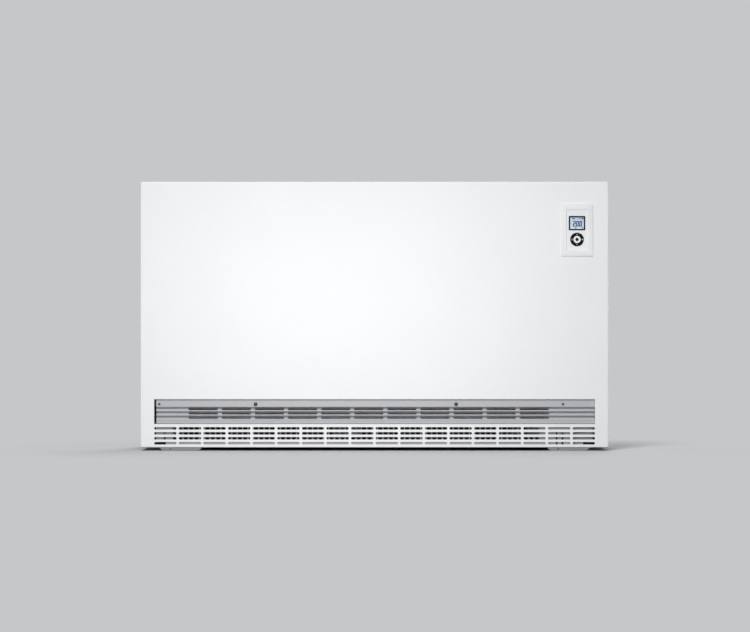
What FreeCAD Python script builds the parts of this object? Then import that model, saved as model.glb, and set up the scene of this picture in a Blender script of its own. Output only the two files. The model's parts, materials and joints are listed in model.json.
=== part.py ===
# Fan-assisted electric storage heater, in millimetres.
# +Z is up, the front faces -Y, the floor is Z = 0 and the wall stands at the largest Y.
import FreeCAD
import Part
import Sketcher
import math
import os
import re

# Driving sizes, each free to change by itself.
SIZES = {
    # Storage core and its insulation, which set the size of the casing
    "brick_width": 175.0,
    "brick_depth": 72.0,
    "brick_height": 98.0,
    "brick_columns": 5,
    "brick_courses": 4,
    "brick_gap": 0.4,
    "duct_length": 110.0,
    "duct_width": 14.0,
    "duct_inset": 20.0,
    "joint_mouth": 1.5,
    "joint_floor": 0.6,
    "base_insulation": 30.0,
    "top_insulation": 60.0,
    "front_insulation": 40.0,
    "back_insulation": 36.0,
    "side_insulation": 50.0,
    "plenum_height": 20.0,
    "left_air_gap": 31.5,
    "top_air_gap": 17.0,
    "back_air_gap": 7.2,
    "fan_space": 119.0,
    "wiring_width": 120.5,
    "shelf_thickness": 2.0,
    # Folded sheet-steel casing
    "sheet_thickness": 1.0,
    "bend_radius": 1.0,
    "front_return": 20.0,
    "back_return": 15.0,
    "top_return": 15.0,
    "base_return": 15.0,
    "side_return": 15.0,
    "seam_gap": 0.5,
    "fit_gap": 0.3,
    "running_gap": 0.05,
    "wall_gap": 25.0,
    "foot_height": 8.0,
    "foot_width": 88.0,
    "foot_length": 230.0,
    "foot_flare": 45.0,
    "foot_wall": 1.5,
    "foot_inset": 96.0,
    "foot_hole_radius": 1.6,
    "foot_hole_offset": 24.6,
    "bracket_inset": 165.0,
    "bracket_drop": 40.0,
    "bracket_width": 60.0,
    "bracket_flange": 38.0,
    "bracket_thickness": 2.0,
    "wall_hole_radius": 4.5,
    "wall_hole_spacing": 18.0,
    "screw_radius": 2.0,
    "screw_head_radius": 4.6,
    "screw_head_height": 2.4,
    "screw_inset": 8.0,
    "screw_end": 40.0,
    "drive_width": 1.0,
    "drive_depth": 1.0,
    # Outlet grille and air inlet
    "opening_height": 60.0,
    "opening_drop": 3.2,
    "opening_margin": 32.5,
    "lip_depth": 3.9,
    "grille_recess": 4.4,
    "grille_gap": 0.6,
    "grille_low_gap": 1.1,
    "grille_left_gap": 5.0,
    "groove_count": 3,
    "groove_pitch": 10.5,
    "groove_depth": 8.0,
    "groove_fall": 3.9,
    "grille_bottom_strip": 8.8,
    "grille_strip_lean": 1.8,
    "grille_flange": 12.0,
    "large_screw_left": 245.0,
    "large_screw_right": 335.5,
    "small_screw_left": 12.3,
    "small_screw_right": 76.9,
    "grille_screw_drop": 11.6,
    "small_head_radius": 2.8,
    "small_head_height": 1.2,
    "rail_lap": 10.0,
    "window_count": 11,
    "window_bridge": 10.0,
    "window_left_margin": 83.0,
    "window_right_margin": 111.0,
    "window_ridge": 2.3,
    "slot_columns": 18,
    "slot_rows": 4,
    "slot_length": 54.0,
    "slot_height": 6.2,
    "slot_low_margin": 9.2,
    "slot_high_margin": 10.6,
    "filter_thickness": 0.8,
    "filter_setback": 5.2,
    "filter_holes": 68,
    "filter_field_end": 6.5,
    "filter_web": 2.6,
    "filter_sill": 17.3,
    "filter_head": 2.5,
    "filter_end": 4.0,
    "filter_reach": 27.0,
    "filter_slit": 4.0,
    "filter_slit_drop": 16.0,
    "filter_step": 12.0,
    "filter_notch_width": 23.5,
    "filter_notch_height": 14.5,
    # Air path
    "rotor_radius": 32.0,
    "rotor_blade": 8.0,
    "rotor_blades": 24,
    "rotor_disc": 2.0,
    "rotor_end_gap": 6.0,
    "blade_thickness": 1.1,
    "blade_bow": 1.2,
    "scroll_gap": 5.0,
    "scroll_mouth": 15.0,
    "fan_flange": 10.0,
    "fan_margin": 12.0,
    "fan_level": 0.45,
    "shaft_radius": 3.0,
    "shaft_end": 5.0,
    "bush_radius": 7.0,
    "bush_seat_gap": 0.1,
    "bush_rim": 3.0,
    "bush_length": 4.0,
    "motor_side": 56.0,
    "motor_length": 24.0,
    "motor_standoff": 8.0,
    "motor_post_radius": 4.0,
    "motor_shield_radius": 23.5,
    "motor_shield": 8.0,
    "armature_radius": 13.0,
    "divider_setback": 10.0,
    "divider_flange": 12.0,
    "flap_height": 42.0,
    "flap_drop": 11.0,
    "flap_inset": 40.0,
    "flap_lap": 5.0,
    "flap_gap": 1.0,
    "flap_stand": 2.0,
    "flap_shaft_radius": 2.5,
    "flap_shaft_end": 4.0,
    "flap_ear": 6.0,
    "strip_width": 22.0,
    # Heating elements and wiring space
    "element_radius": 5.0,
    "element_spread": 22.0,
    "groove_clearance": 0.6,
    "bend_clearance": 3.0,
    "cold_end": 26.0,
    "pin_radius": 2.0,
    "pin_length": 14.0,
    "collar_radius": 9.5,
    "collar_length": 5.0,
    "sleeve_length": 8.0,
    "sensor_radius": 3.0,
    "sensor_head_radius": 6.0,
    "sensor_head_length": 9.0,
    "terminal_ways": 6,
    "terminal_pitch": 11.2,
    "terminal_depth": 22.0,
    "terminal_height": 26.0,
    "terminal_inset": 40.0,
    "terminal_hole_radius": 2.6,
    "terminal_hole_depth": 13.0,
    "terminal_screw_level": 0.7,
    "board_thickness": 1.6,
    "power_board_width": 66.0,
    "power_board_height": 150.0,
    "power_board_inset": 34.0,
    "spacer_radius": 3.5,
    "spacer_length": 8.0,
    "spacer_inset": 7.0,
    "relay_width": 19.0,
    "relay_height": 29.0,
    "relay_depth": 16.0,
    "relay_pitch": 42.0,
    "relay_count": 3,
    "cutout_width": 28.0,
    "cutout_height": 34.0,
    "cutout_depth": 26.0,
    "cutout_inset": 20.0,
    "cutout_collar_radius": 6.0,
    "cutout_collar_length": 5.0,
    "button_radius": 3.2,
    "button_length": 11.0,
    "button_travel": 2.0,
    "cable_radius": 7.0,
    "cable_rise": 25.0,
    "cable_bush_wall": 3.0,
    "cable_bush_lip": 3.0,
    # Control unit
    "control_inset": 45.7,
    "control_drop": 116.2,
    "bezel_width": 78.0,
    "bezel_height": 129.0,
    "bezel_proud": 1.6,
    "bezel_chamfer": 1.0,
    "bezel_lap": 3.0,
    "bezel_wall": 2.0,
    "skirt_depth": 14.0,
    "recess_width": 52.0,
    "recess_height": 98.0,
    "recess_depth": 1.0,
    "recess_slope": 50.0,
    "display_rise": 16.2,
    "display_width": 39.4,
    "display_height": 34.2,
    "display_border": 3.2,
    "display_corner": 2.4,
    "ring_drop": 23.3,
    "ring_radius": 16.2,
    "hub_radius": 8.7,
    "dot_radius": 4.1,
    "key_gap": 0.35,
    "key_split": 0.5,
    "key_proud": 0.8,
    "key_travel": 0.8,
    "key_lip": 1.4,
    "switch_clearance": 0.2,
    "display_proud": 0.2,
    "display_glass_gap": 0.1,
    "display_sink": 0.3,
    "panel_lap": 2.0,
    "bezel_corner": 4.0,
    "cover_depth": 22.0,
    "cover_post_radius": 3.0,
    "cover_post_inset": 5.0,
}

# Places worked out from the sizes.
PLACES = {
    "core_width": "brick_columns * brick_width",
    "casing_width": "3 * sheet_thickness + left_air_gap + 2 * side_insulation + core_width + wiring_width",
    "casing_depth": "front_return + seam_gap + 2 * sheet_thickness + fit_gap + front_insulation"
    " + 2 * brick_depth + back_insulation + back_air_gap",
    "casing_height": "2 * sheet_thickness + fan_space + shelf_thickness + base_insulation"
    " + brick_courses * brick_height + plenum_height + top_insulation + top_air_gap",
    "right_x": "casing_width / 2",
    "left_x": "-casing_width / 2",
    "front_y": "-(casing_depth + wall_gap - bezel_proud) / 2",
    "back_y": "front_y + casing_depth",
    "wall_y": "back_y + wall_gap",
    "bottom_z": "foot_height",
    "floor_z": "bottom_z + sheet_thickness",
    "top_z": "bottom_z + casing_height",
    "tray_front_y": "front_y + front_return + seam_gap",
    "tray_back_y": "back_y - back_return - seam_gap",
    "side_low_z": "bottom_z + base_return + seam_gap",
    "side_high_z": "top_z - top_return - seam_gap",
    "shelf_low_z": "floor_z + fan_space",
    "shelf_z": "shelf_low_z + shelf_thickness",
    "core_low_z": "shelf_z + base_insulation",
    "core_high_z": "core_low_z + brick_courses * brick_height",
    "roof_z": "core_high_z + plenum_height",
    "lid_z": "roof_z + top_insulation",
    "wool_left_x": "left_x + sheet_thickness + left_air_gap",
    "core_left_x": "wool_left_x + side_insulation",
    "core_right_x": "core_left_x + core_width",
    "partition_x": "core_right_x + side_insulation",
    "wiring_x": "partition_x + sheet_thickness",
    "wool_front_y": "tray_front_y + sheet_thickness + fit_gap",
    "core_front_y": "wool_front_y + front_insulation",
    "core_mid_y": "core_front_y + brick_depth",
    "core_back_y": "core_mid_y + brick_depth",
    "wool_back_y": "core_back_y + back_insulation",
    "leg_front_y": "tray_front_y + sheet_thickness + fit_gap",
    "leg_back_y": "tray_back_y - sheet_thickness - fit_gap",
    "opening_high_z": "shelf_low_z - opening_drop",
    "opening_low_z": "opening_high_z - opening_height",
    "opening_left_x": "left_x + opening_margin",
    "opening_right_x": "right_x - opening_margin",
    "opening_width": "opening_right_x - opening_left_x",
    "slot_low_z": "floor_z + slot_low_margin",
    "slot_row_pitch": "(opening_low_z - slot_high_margin - slot_low_z) / (slot_rows - 1)",
    "slot_column_pitch": "(opening_width - slot_length) / (slot_columns - 1)",
    "grille_y": "front_y + grille_recess",
    "grille_left_x": "opening_left_x + grille_left_gap",
    "grille_right_x": "opening_right_x - grille_gap",
    "grille_high_z": "opening_high_z - grille_gap",
    "grille_low_z": "opening_low_z + grille_low_gap",
    "groove_high_z": "grille_low_z + grille_bottom_strip + groove_count * groove_pitch",
    "grille_screw_z": "grille_high_z - grille_screw_drop",
    "window_pitch": "(opening_width - window_left_margin - window_right_margin + window_bridge)"
    " / window_count",
    "rail_y": "grille_y + sheet_thickness + fit_gap",
    "filter_y": "front_y + filter_setback",
    "filter_low_z": "floor_z + fit_gap",
    "divider_high_z": "opening_low_z - sheet_thickness - fit_gap",
    "divider_low_z": "divider_high_z - sheet_thickness",
    "filter_high_z": "divider_low_z - fit_gap",
    "divider_y": "core_front_y + duct_inset + duct_width / 2 + divider_setback",
    "filter_pitch": "(core_width + 2 * filter_field_end) / filter_holes",
    "fan_y": "core_back_y - duct_inset - rotor_end_gap",
    "fan_z": "floor_z + fan_space * fan_level",
    "fan_rise": "shelf_low_z - fan_z",
    "scroll_radius": "rotor_radius + scroll_gap",
    "motor_reach": "motor_standoff + motor_length + motor_shield + shaft_end",
    "fan_length": "core_width / 2 - motor_reach - bush_length - 2 * fan_margin",
    "left_fan_x": "core_left_x + fan_margin",
    "right_fan_x": "core_left_x + core_width / 2 + fan_margin",
    "flap_left_x": "core_left_x + flap_inset",
    "flap_right_x": "core_right_x - flap_inset",
    "flap_y": "divider_y - flap_gap + flap_shaft_radius + running_gap",
    "flap_z": "shelf_low_z - flap_drop",
    "joint_front_y": "core_mid_y - element_spread",
    "joint_back_y": "core_mid_y + element_spread",
    "cold_end_x": "wiring_x + cold_end",
    "control_x": "wiring_x + control_inset",
    "control_z": "top_z - control_drop",
    "display_z": "control_z + display_rise",
    "ring_z": "control_z - ring_drop",
    "skirt_width": "bezel_width - 2 * bezel_lap",
    "skirt_height": "bezel_height - 2 * bezel_lap",
    "field_y": "front_y - bezel_proud + recess_depth",
    "field_back_y": "field_y + bezel_wall",
    "key_front_y": "field_y - key_proud",
    "key_base_y": "field_back_y + fit_gap + key_lip",
    "control_board_y": "key_base_y + key_travel + switch_clearance",
    "skirt_back_y": "front_y + skirt_depth",
    "cable_x": "wiring_x + wiring_width / 2",
    "cable_z": "floor_z + cable_rise",
    "cutout_y": "core_front_y + cutout_inset",
    "cutout_z": "core_low_z + brick_height * 1.5",
    "sensor_z": "core_low_z + brick_height * 2.5",
    "leg_reach": "cold_end_x - core_left_x",
    "power_board_y": "core_back_y - power_board_inset",
    "power_board_z": "core_low_z + brick_height * 1.4",
    "screw_rim": "screw_head_height * 0.45",
    "screw_crown": "screw_head_radius * 0.6",
    "drive_length": "screw_head_radius * 1.3",
}

# Planes in the order of the axes that they are square to
PLANES = ("YZ_Plane", "XZ_Plane", "XY_Plane")
DIRECTIONS = {
    "X": FreeCAD.Vector(1, 0, 0),
    "Y": FreeCAD.Vector(0, 1, 0),
    "Z": FreeCAD.Vector(0, 0, 1),
}
TOLERANCE = 1e-4

doc = FreeCAD.newDocument("storage_heater")
pieces = []


# Names, sheets and values
def named(text):
    """The expression with every bare size or place name given its sheet."""

    def owner(match):
        word = match.group()
        if word in SIZES:
            return f"sizes.{word}"
        if word in PLACES:
            return f"places.{word}"
        return word

    return re.sub(r"[a-z_][a-z_0-9]*", owner, str(text))


def fill_sheets():
    """One sheet of plain driving sizes and one of places computed from them."""
    sizes = doc.addObject("Spreadsheet::Sheet", "sizes")
    for row, (alias, size) in enumerate(SIZES.items(), start=1):
        sizes.set(f"A{row}", alias)
        sizes.set(f"B{row}", str(size))
        sizes.setAlias(f"B{row}", alias)
    places = doc.addObject("Spreadsheet::Sheet", "places")
    for row, (alias, formula) in enumerate(PLACES.items(), start=1):
        places.set(f"A{row}", alias)
        places.set(f"B{row}", "=" + named(formula).replace("places.", ""))
        places.setAlias(f"B{row}", alias)
    doc.recompute()
    return sizes


sheet = fill_sheets()


def number(text):
    """The present value of an expression."""
    found = sheet.evalExpression(named(text))
    return float(getattr(found, "Value", found))


def bind(thing, prop, text):
    """Ties one property to an expression."""
    thing.setExpression(prop, named(text))


def vector(x, y, z="0"):
    """A point from three expressions."""
    return FreeCAD.Vector(number(x), number(y), number(z))


def piece(thing):
    """Marks an object as one of the separate pieces to write out."""
    pieces.append(thing)
    return thing


def set_at(thing, x, y, z):
    """Ties the position of an object to three expressions."""
    for name, text in (("x", x), ("y", y), ("z", z)):
        bind(thing, f"Placement.Base.{name}", text)
    return thing


# Primitive solids
def block(label, low, high):
    """A box between two corners."""
    box = doc.addObject("Part::Box", label)
    set_at(box, *low)
    for prop, start, end in zip(("Length", "Width", "Height"), low, high):
        bind(box, prop, f"({end}) - ({start})")
    return box


def rod(label, axis, start, radius, length):
    """A cylinder that starts at a point and runs along an axis."""
    cylinder = doc.addObject("Part::Cylinder", label)
    turn = FreeCAD.Rotation(DIRECTIONS["Z"], DIRECTIONS[axis])
    cylinder.Placement = FreeCAD.Placement(FreeCAD.Vector(), turn)
    set_at(cylinder, *start)
    bind(cylinder, "Radius", radius)
    bind(cylinder, "Height", length)
    return cylinder


def fuse(label, solids):
    """Several solids joined to one."""
    joined = doc.addObject("Part::MultiFuse", label)
    joined.Shapes = solids
    joined.Refine = True
    return joined


def cut(label, base, tools):
    """A solid with the tools taken out of it."""
    tool = tools[0]
    if len(tools) > 1:
        tool = doc.addObject("Part::Compound", label + "_tools")
        tool.Links = tools
    result = doc.addObject("Part::Cut", label)
    result.Base = base
    result.Tool = tool
    return result


def group(label, *kinds):
    """Copies of one or more solids, each kind with its placements, as a single piece."""
    doc.recompute()
    copies = []
    for master, placements in kinds:
        for placement in placements:
            copy = master.Shape.copy()
            copy.Placement = placement.multiply(copy.Placement)
            copies.append(copy)
    together = doc.addObject("Part::Feature", label)
    together.Shape = Part.makeCompound(copies)
    return piece(together)


def moved(x, y, z, angle=0, axis="Z"):
    """A placement from three expressions and a turn about an axis."""
    return FreeCAD.Placement(vector(x, y, z), FreeCAD.Rotation(DIRECTIONS[axis], angle))


# Sketches
def facing(role):
    """The way a plane's sketches face along its axis."""
    return -1 if role == "XZ_Plane" else 1


def new_body(label):
    """An empty body under its own name."""
    body = doc.addObject("PartDesign::Body", label)
    body.Label = label
    return body


def sketch_on(body, role, at="0"):
    """A sketch on an origin plane of the body, moved out to a coordinate."""
    sketch = body.newObject("Sketcher::SketchObject", "outline")
    plane = next(item for item in body.Origin.OriginFeatures if item.Role == role)
    sketch.AttachmentSupport = [(plane, "")]
    sketch.MapMode = "FlatFace"
    bind(sketch, "AttachmentOffset.Base.z", f"{facing(role)} * ({at})")
    return sketch


def measure(sketch, kind, first, text):
    """A dimension tied to an expression."""
    index = sketch.addConstraint(Sketcher.Constraint(kind, *first, number(text)))
    bind(sketch, f"Constraints[{index}]", text)


def fix_point(sketch, geometry, end, x, y):
    """Holds a point at two coordinates."""
    measure(sketch, "DistanceX", (-1, 1, geometry, end), x)
    measure(sketch, "DistanceY", (-1, 1, geometry, end), y)


def arc_between(start, end, radius, turn):
    """The shorter arc between two points, anticlockwise for a turn of 1."""
    chord = end - start
    middle = (start + end) * 0.5
    height = math.sqrt(max(radius**2 - (chord.Length / 2) ** 2, 0.0))
    side = FreeCAD.Vector(-chord.y, chord.x, 0).normalize()
    centre = middle + side * (height * turn)
    first, last = (start, end) if turn > 0 else (end, start)
    angles = [math.atan2(point.y - centre.y, point.x - centre.x) for point in (first, last)]
    circle_through = Part.Circle(centre, DIRECTIONS["Z"], radius)
    return Part.ArcOfCircle(circle_through, *angles)


def outline(sketch, corners):
    """A closed outline; a corner with a radius and a turn is reached by an arc."""
    points = [vector(corner[0], corner[1]) for corner in corners]
    segments = []
    for index, corner in enumerate(corners):
        start = points[index - 1]
        if len(corner) == 2:
            geometry = sketch.addGeometry(Part.LineSegment(start, points[index]))
            segments.append((geometry, 1, 2))
            continue
        radius, turn = corner[2:]
        geometry = sketch.addGeometry(arc_between(start, points[index], number(radius), turn))
        measure(sketch, "Radius", (geometry,), radius)
        segments.append((geometry, 1, 2) if turn > 0 else (geometry, 2, 1))
    for index, (geometry, _, end) in enumerate(segments):
        following, start, _ = segments[(index + 1) % len(segments)]
        sketch.addConstraint(Sketcher.Constraint("Coincident", geometry, end, following, start))
        fix_point(sketch, geometry, end, *corners[index][:2])
    return sketch


def rectangle(sketch, x0, y0, x1, y1):
    """A rectangle between two corners."""
    return outline(sketch, [(x0, y0), (x1, y0), (x1, y1), (x0, y1)])


def centred(sketch, x, y, width, height):
    """A rectangle about a centre."""
    return rectangle(
        sketch,
        f"({x}) - ({width}) / 2",
        f"({y}) - ({height}) / 2",
        f"({x}) + ({width}) / 2",
        f"({y}) + ({height}) / 2",
    )


def circle(sketch, x, y, radius):
    """A circle about a centre."""
    shape = Part.Circle(vector(x, y), DIRECTIONS["Z"], number(radius))
    geometry = sketch.addGeometry(shape)
    fix_point(sketch, geometry, 3, x, y)
    measure(sketch, "Radius", (geometry,), radius)
    return sketch


def obround(sketch, ends, radius):
    """A slot with round ends about two centres, the first on the left or below."""
    (x0, y0), (x1, y1) = ends
    first, last = vector(x0, y0), vector(x1, y1)
    size = number(radius)
    along = (last - first).normalize()
    side = FreeCAD.Vector(-along.y, along.x, 0) * size
    lean = math.atan2(along.y, along.x)
    upper = sketch.addGeometry(Part.LineSegment(first + side, last + side))
    turn_at = Part.Circle(last, DIRECTIONS["Z"], size)
    far = sketch.addGeometry(Part.ArcOfCircle(turn_at, lean - math.pi / 2, lean + math.pi / 2))
    lower = sketch.addGeometry(Part.LineSegment(last - side, first - side))
    turn_at = Part.Circle(first, DIRECTIONS["Z"], size)
    near = sketch.addGeometry(Part.ArcOfCircle(turn_at, lean + math.pi / 2, lean + 1.5 * math.pi))
    for link in ((upper, 2, far, 2), (far, 1, lower, 1), (lower, 2, near, 2), (near, 1, upper, 1)):
        sketch.addConstraint(Sketcher.Constraint("Tangent", *link))
    fix_point(sketch, far, 3, x1, y1)
    fix_point(sketch, near, 3, x0, y0)
    measure(sketch, "Radius", (far,), radius)
    measure(sketch, "Radius", (near,), radius)
    return sketch


# Features of a body
def pad(body, sketch, length, reverse=False, flare=None):
    """Raises a sketch along its normal, or against it, with sides that may flare."""
    feature = body.newObject("PartDesign::Pad", "pad")
    feature.Profile = sketch
    feature.Reversed = reverse
    bind(feature, "Length", length)
    if flare:
        bind(feature, "TaperAngle", flare)
    doc.recompute()
    return feature


def pocket(body, sketch, length, reverse=False, flare=None):
    """Sinks a sketch against its normal, or along it, and makes sure that it cuts."""
    before = body.Shape.Volume
    feature = body.newObject("PartDesign::Pocket", "pocket")
    feature.Profile = sketch
    feature.Reversed = reverse
    bind(feature, "Length", length)
    if flare:
        bind(feature, "TaperAngle", flare)
    doc.recompute()
    if body.Shape.Volume > before - TOLERANCE:
        raise ValueError(f"a pocket in {body.Label} cuts nothing")
    return feature


def repeat(body, feature, along, offset, count, across=None, offset_across=None, count_across=None):
    """Repeats a feature in a row, or in rows, along the axes of its sketch."""
    pattern = body.newObject("PartDesign::LinearPattern", "rows")
    pattern.Originals = [feature]
    sketch = feature.Profile[0]
    pattern.Direction = (sketch, [along])
    pattern.Mode = "Spacing"
    bind(pattern, "Offset", offset)
    bind(pattern, "Occurrences", count)
    if across:
        pattern.Direction2 = (sketch, [across])
        pattern.Mode2 = "Spacing"
        bind(pattern, "Offset2", offset_across)
        bind(pattern, "Occurrences2", count_across)
        # Every row lies one offset above the last
        pattern.Spacings2 = [-1]
    body.Tip = pattern
    doc.recompute()
    return pattern


def revolve(body, profile, axis):
    """Turns a profile once round an axis of its sketch."""
    feature = body.newObject("PartDesign::Revolution", "turned")
    feature.Profile = profile
    feature.ReferenceAxis = (profile, [axis])
    feature.Angle = 360
    doc.recompute()
    return feature


def edges_where(shape, test):
    """The names of the edges for which a test of the end points holds."""
    return [
        f"Edge{index}"
        for index, edge in enumerate(shape.Edges, start=1)
        if len(edge.Vertexes) == 2 and test([vertex.Point for vertex in edge.Vertexes])
    ]


def soften(body, kind, size, test):
    """Rounds or bevels the edges of the newest feature that pass a test."""
    base = body.Tip
    feature = body.newObject(f"PartDesign::{kind}", kind.lower())
    feature.Base = (base, edges_where(base.Shape, test))
    bind(feature, "Radius" if kind == "Fillet" else "Size", size)
    doc.recompute()
    return feature


def on_plane(axis, at):
    """A test for edges that lie in a plane square to an axis."""
    place = number(at)
    return lambda ends: all(abs(point[axis] - place) < TOLERANCE for point in ends)


def along_axis(axis):
    """A test for edges that run along an axis."""
    return lambda ends: all(
        abs(ends[0][index] - ends[1][index]) < TOLERANCE for index in range(3) if index != axis
    )


# Casing
def tray(label, role, at, inward, low, high, depth):
    """A folded sheet: a face with four returns turned inward along the axis of its plane."""
    body = new_body(label)
    reverse = facing(role) != inward
    pad(body, rectangle(sketch_on(body, role, at), *low, *high), depth, reverse)
    axis = PLANES.index(role)
    on_face, corner = on_plane(axis, at), along_axis(axis)
    soften(
        body,
        "Fillet",
        "bend_radius + sheet_thickness",
        lambda ends: on_face(ends) or corner(ends),
    )
    hollow = sketch_on(body, role, f"{at} + {inward} * {depth}")
    inner_low = [f"{text} + sheet_thickness" for text in low]
    inner_high = [f"{text} - sheet_thickness" for text in high]
    rectangle(hollow, *inner_low, *inner_high)
    pocket(body, hollow, f"{depth} - sheet_thickness", reverse)
    return piece(body)


def casing_screw_places():
    """X and Z of the screws that hold the back to the side returns."""
    middle = "(side_low_z + side_high_z) / 2"
    heights = ("side_low_z + screw_end", middle, "side_high_z - screw_end")
    sides = ("left_x + screw_inset", "right_x - screw_inset")
    return [(x, z) for x in sides for z in heights]


def bracket_centres():
    """X of the two wall brackets."""
    return ("left_x + bracket_inset", "right_x - bracket_inset")


def bracket_screw_places():
    """X and Z of the screws that hold the wall brackets to the back."""
    low_z = "top_z - bracket_drop - 1.5 * bracket_flange + bracket_thickness"
    return [
        (f"{x} + {side} * bracket_width / 4", low_z) for x in bracket_centres() for side in (-1, 1)
    ]


def screw(label, length):
    """A pan-head screw along -Y with the seat of its head at the origin."""
    body = new_body(label)
    profile = sketch_on(body, "XY_Plane")
    outline(
        profile,
        [
            ("0", f"-({length})"),
            ("screw_radius", f"-({length})"),
            ("screw_radius", "0"),
            ("screw_head_radius", "0"),
            ("screw_head_radius", "screw_rim"),
            ("screw_crown", "screw_head_height"),
            ("0", "screw_head_height"),
        ],
    )
    revolve(body, profile, "V_Axis")
    top = sketch_on(body, "XZ_Plane", "screw_head_height")
    drive = centred(top, "0", "0", "drive_length", "drive_width")
    pocket(body, drive, "drive_depth", True)
    return body


def make_front():
    """Front sheet with the outlet opening, the rows of inlet slots and the control opening."""
    body = tray(
        "front_panel",
        "XZ_Plane",
        "front_y",
        1,
        ("left_x", "bottom_z"),
        ("right_x", "top_z"),
        "front_return",
    )
    edge = ("opening_left_x", "opening_low_z", "opening_right_x", "opening_high_z")
    lip = sketch_on(body, "XZ_Plane", "front_y + sheet_thickness")
    rectangle(lip, *edge)
    outer = [f"{text} {sign} sheet_thickness" for text, sign in zip(edge, "--++")]
    rectangle(lip, *outer)
    pad(body, lip, "lip_depth", True)
    face = rectangle(sketch_on(body, "XZ_Plane", "front_y"), *edge)
    pocket(body, face, "sheet_thickness")
    control = sketch_on(body, "XZ_Plane", "front_y")
    width, height = "skirt_width + 2 * fit_gap", "skirt_height + 2 * fit_gap"
    centred(control, "control_x", "control_z", width, height)
    pocket(body, control, "sheet_thickness")
    slot = sketch_on(body, "XZ_Plane", "front_y")
    near = ("opening_left_x + slot_height / 2", "slot_low_z")
    far = ("opening_left_x + slot_length - slot_height / 2", "slot_low_z")
    obround(slot, (near, far), "slot_height / 2")
    first = pocket(body, slot, "sheet_thickness")
    repeat(
        body,
        first,
        "H_Axis",
        "slot_column_pitch",
        "slot_columns",
        "V_Axis",
        "slot_row_pitch",
        "slot_rows",
    )


def make_back():
    """Back sheet with the cable hole and the screw holes."""
    body = tray(
        "back_panel",
        "XZ_Plane",
        "back_y",
        -1,
        ("left_x", "bottom_z"),
        ("right_x", "top_z"),
        "back_return",
    )
    holes = sketch_on(body, "XZ_Plane", "back_y")
    circle(holes, "cable_x", "cable_z", "cable_radius + cable_bush_wall")
    for x, z in casing_screw_places() + bracket_screw_places():
        circle(holes, x, z, "screw_radius + fit_gap")
    pocket(body, holes, "sheet_thickness", True)


def make_side(label, at, inward, screw_x):
    """One side sheet with screw holes in its back return."""
    body = tray(
        label,
        "YZ_Plane",
        at,
        inward,
        ("tray_front_y", "side_low_z"),
        ("tray_back_y", "side_high_z"),
        "side_return",
    )
    holes = sketch_on(body, "XZ_Plane", "tray_back_y")
    for x, z in casing_screw_places():
        if x == screw_x:
            circle(holes, x, z, "screw_radius + fit_gap")
    pocket(body, holes, "sheet_thickness", True)


def make_foot(label, x):
    """A pressed foot with flared sides, hollow towards the base, and a hole in its front."""
    body = new_body(label)
    middle = "(tray_front_y + tray_back_y) / 2"
    sole = centred(sketch_on(body, "XY_Plane"), x, middle, "foot_width", "foot_length")
    pad(body, sole, "foot_height", flare="foot_flare")
    hollow = sketch_on(body, "XY_Plane", "foot_height")
    width, length = "foot_width - 2 * foot_wall", "foot_length - 2 * foot_wall"
    centred(hollow, x, middle, width, length)
    pocket(body, hollow, "foot_height - foot_wall")
    hole = sketch_on(body, "XZ_Plane", f"{middle} - foot_length / 2 - foot_height")
    circle(hole, f"{x} - foot_hole_offset", "foot_height / 2", "foot_hole_radius")
    pocket(body, hole, "foot_height + 3 * foot_wall")
    piece(body)


def make_bracket(label, x):
    """A Z-shaped wall bracket with two wall holes and two screw holes."""
    body = new_body(label)
    profile = sketch_on(body, "YZ_Plane", f"{x} - bracket_width / 2")
    tip = "top_z - bracket_drop"
    knee = f"{tip} - bracket_flange"
    outline(
        profile,
        [
            ("back_y", f"{knee} - bracket_flange + bracket_thickness"),
            ("back_y + bracket_thickness", f"{knee} - bracket_flange + bracket_thickness"),
            ("back_y + bracket_thickness", knee),
            ("wall_y", knee),
            ("wall_y", tip),
            ("wall_y - bracket_thickness", tip),
            ("wall_y - bracket_thickness", f"{knee} + bracket_thickness"),
            ("back_y", f"{knee} + bracket_thickness"),
        ],
    )
    pad(body, profile, "bracket_width")
    wall_holes = sketch_on(body, "XZ_Plane", "wall_y")
    upper = f"{tip} - bracket_flange / 2 + bracket_thickness / 2 + wall_hole_spacing / 2"
    circle(wall_holes, x, upper, "wall_hole_radius")
    circle(wall_holes, x, f"{upper} - wall_hole_spacing", "wall_hole_radius")
    pocket(body, wall_holes, "bracket_thickness", True)
    screw_holes = sketch_on(body, "XZ_Plane", "back_y + bracket_thickness")
    for screw_x, screw_z in bracket_screw_places():
        if screw_x.startswith(x):
            circle(screw_holes, screw_x, screw_z, "screw_radius + fit_gap")
    pocket(body, screw_holes, "bracket_thickness", True)
    piece(body)


def make_casing():
    """The folded casing, its feet, wall brackets and screws."""
    make_front()
    make_back()
    make_side("left_side_panel", "left_x", 1, "left_x + screw_inset")
    make_side("right_side_panel", "right_x", -1, "right_x - screw_inset")
    flat = (("left_x", "tray_front_y"), ("right_x", "tray_back_y"))
    tray("top_cover", "XY_Plane", "top_z", -1, *flat, "top_return")
    tray("base_tray", "XY_Plane", "bottom_z", 1, *flat, "base_return")
    make_foot("left_foot", "left_x + foot_inset")
    make_foot("right_foot", "right_x - foot_inset")
    for side, x in zip(("left", "right"), bracket_centres()):
        make_bracket(f"{side}_wall_bracket", x)
    long_screw = screw("casing_screw", "back_return + seam_gap + 3 * sheet_thickness")
    short_screw = screw("bracket_screw", "bracket_thickness + 4 * sheet_thickness")
    bracket_seat = "back_y + bracket_thickness"
    group(
        "casing_screws",
        (long_screw, [moved(x, "back_y", z) for x, z in casing_screw_places()]),
        (short_screw, [moved(x, bracket_seat, z) for x, z in bracket_screw_places()]),
    )


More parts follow.
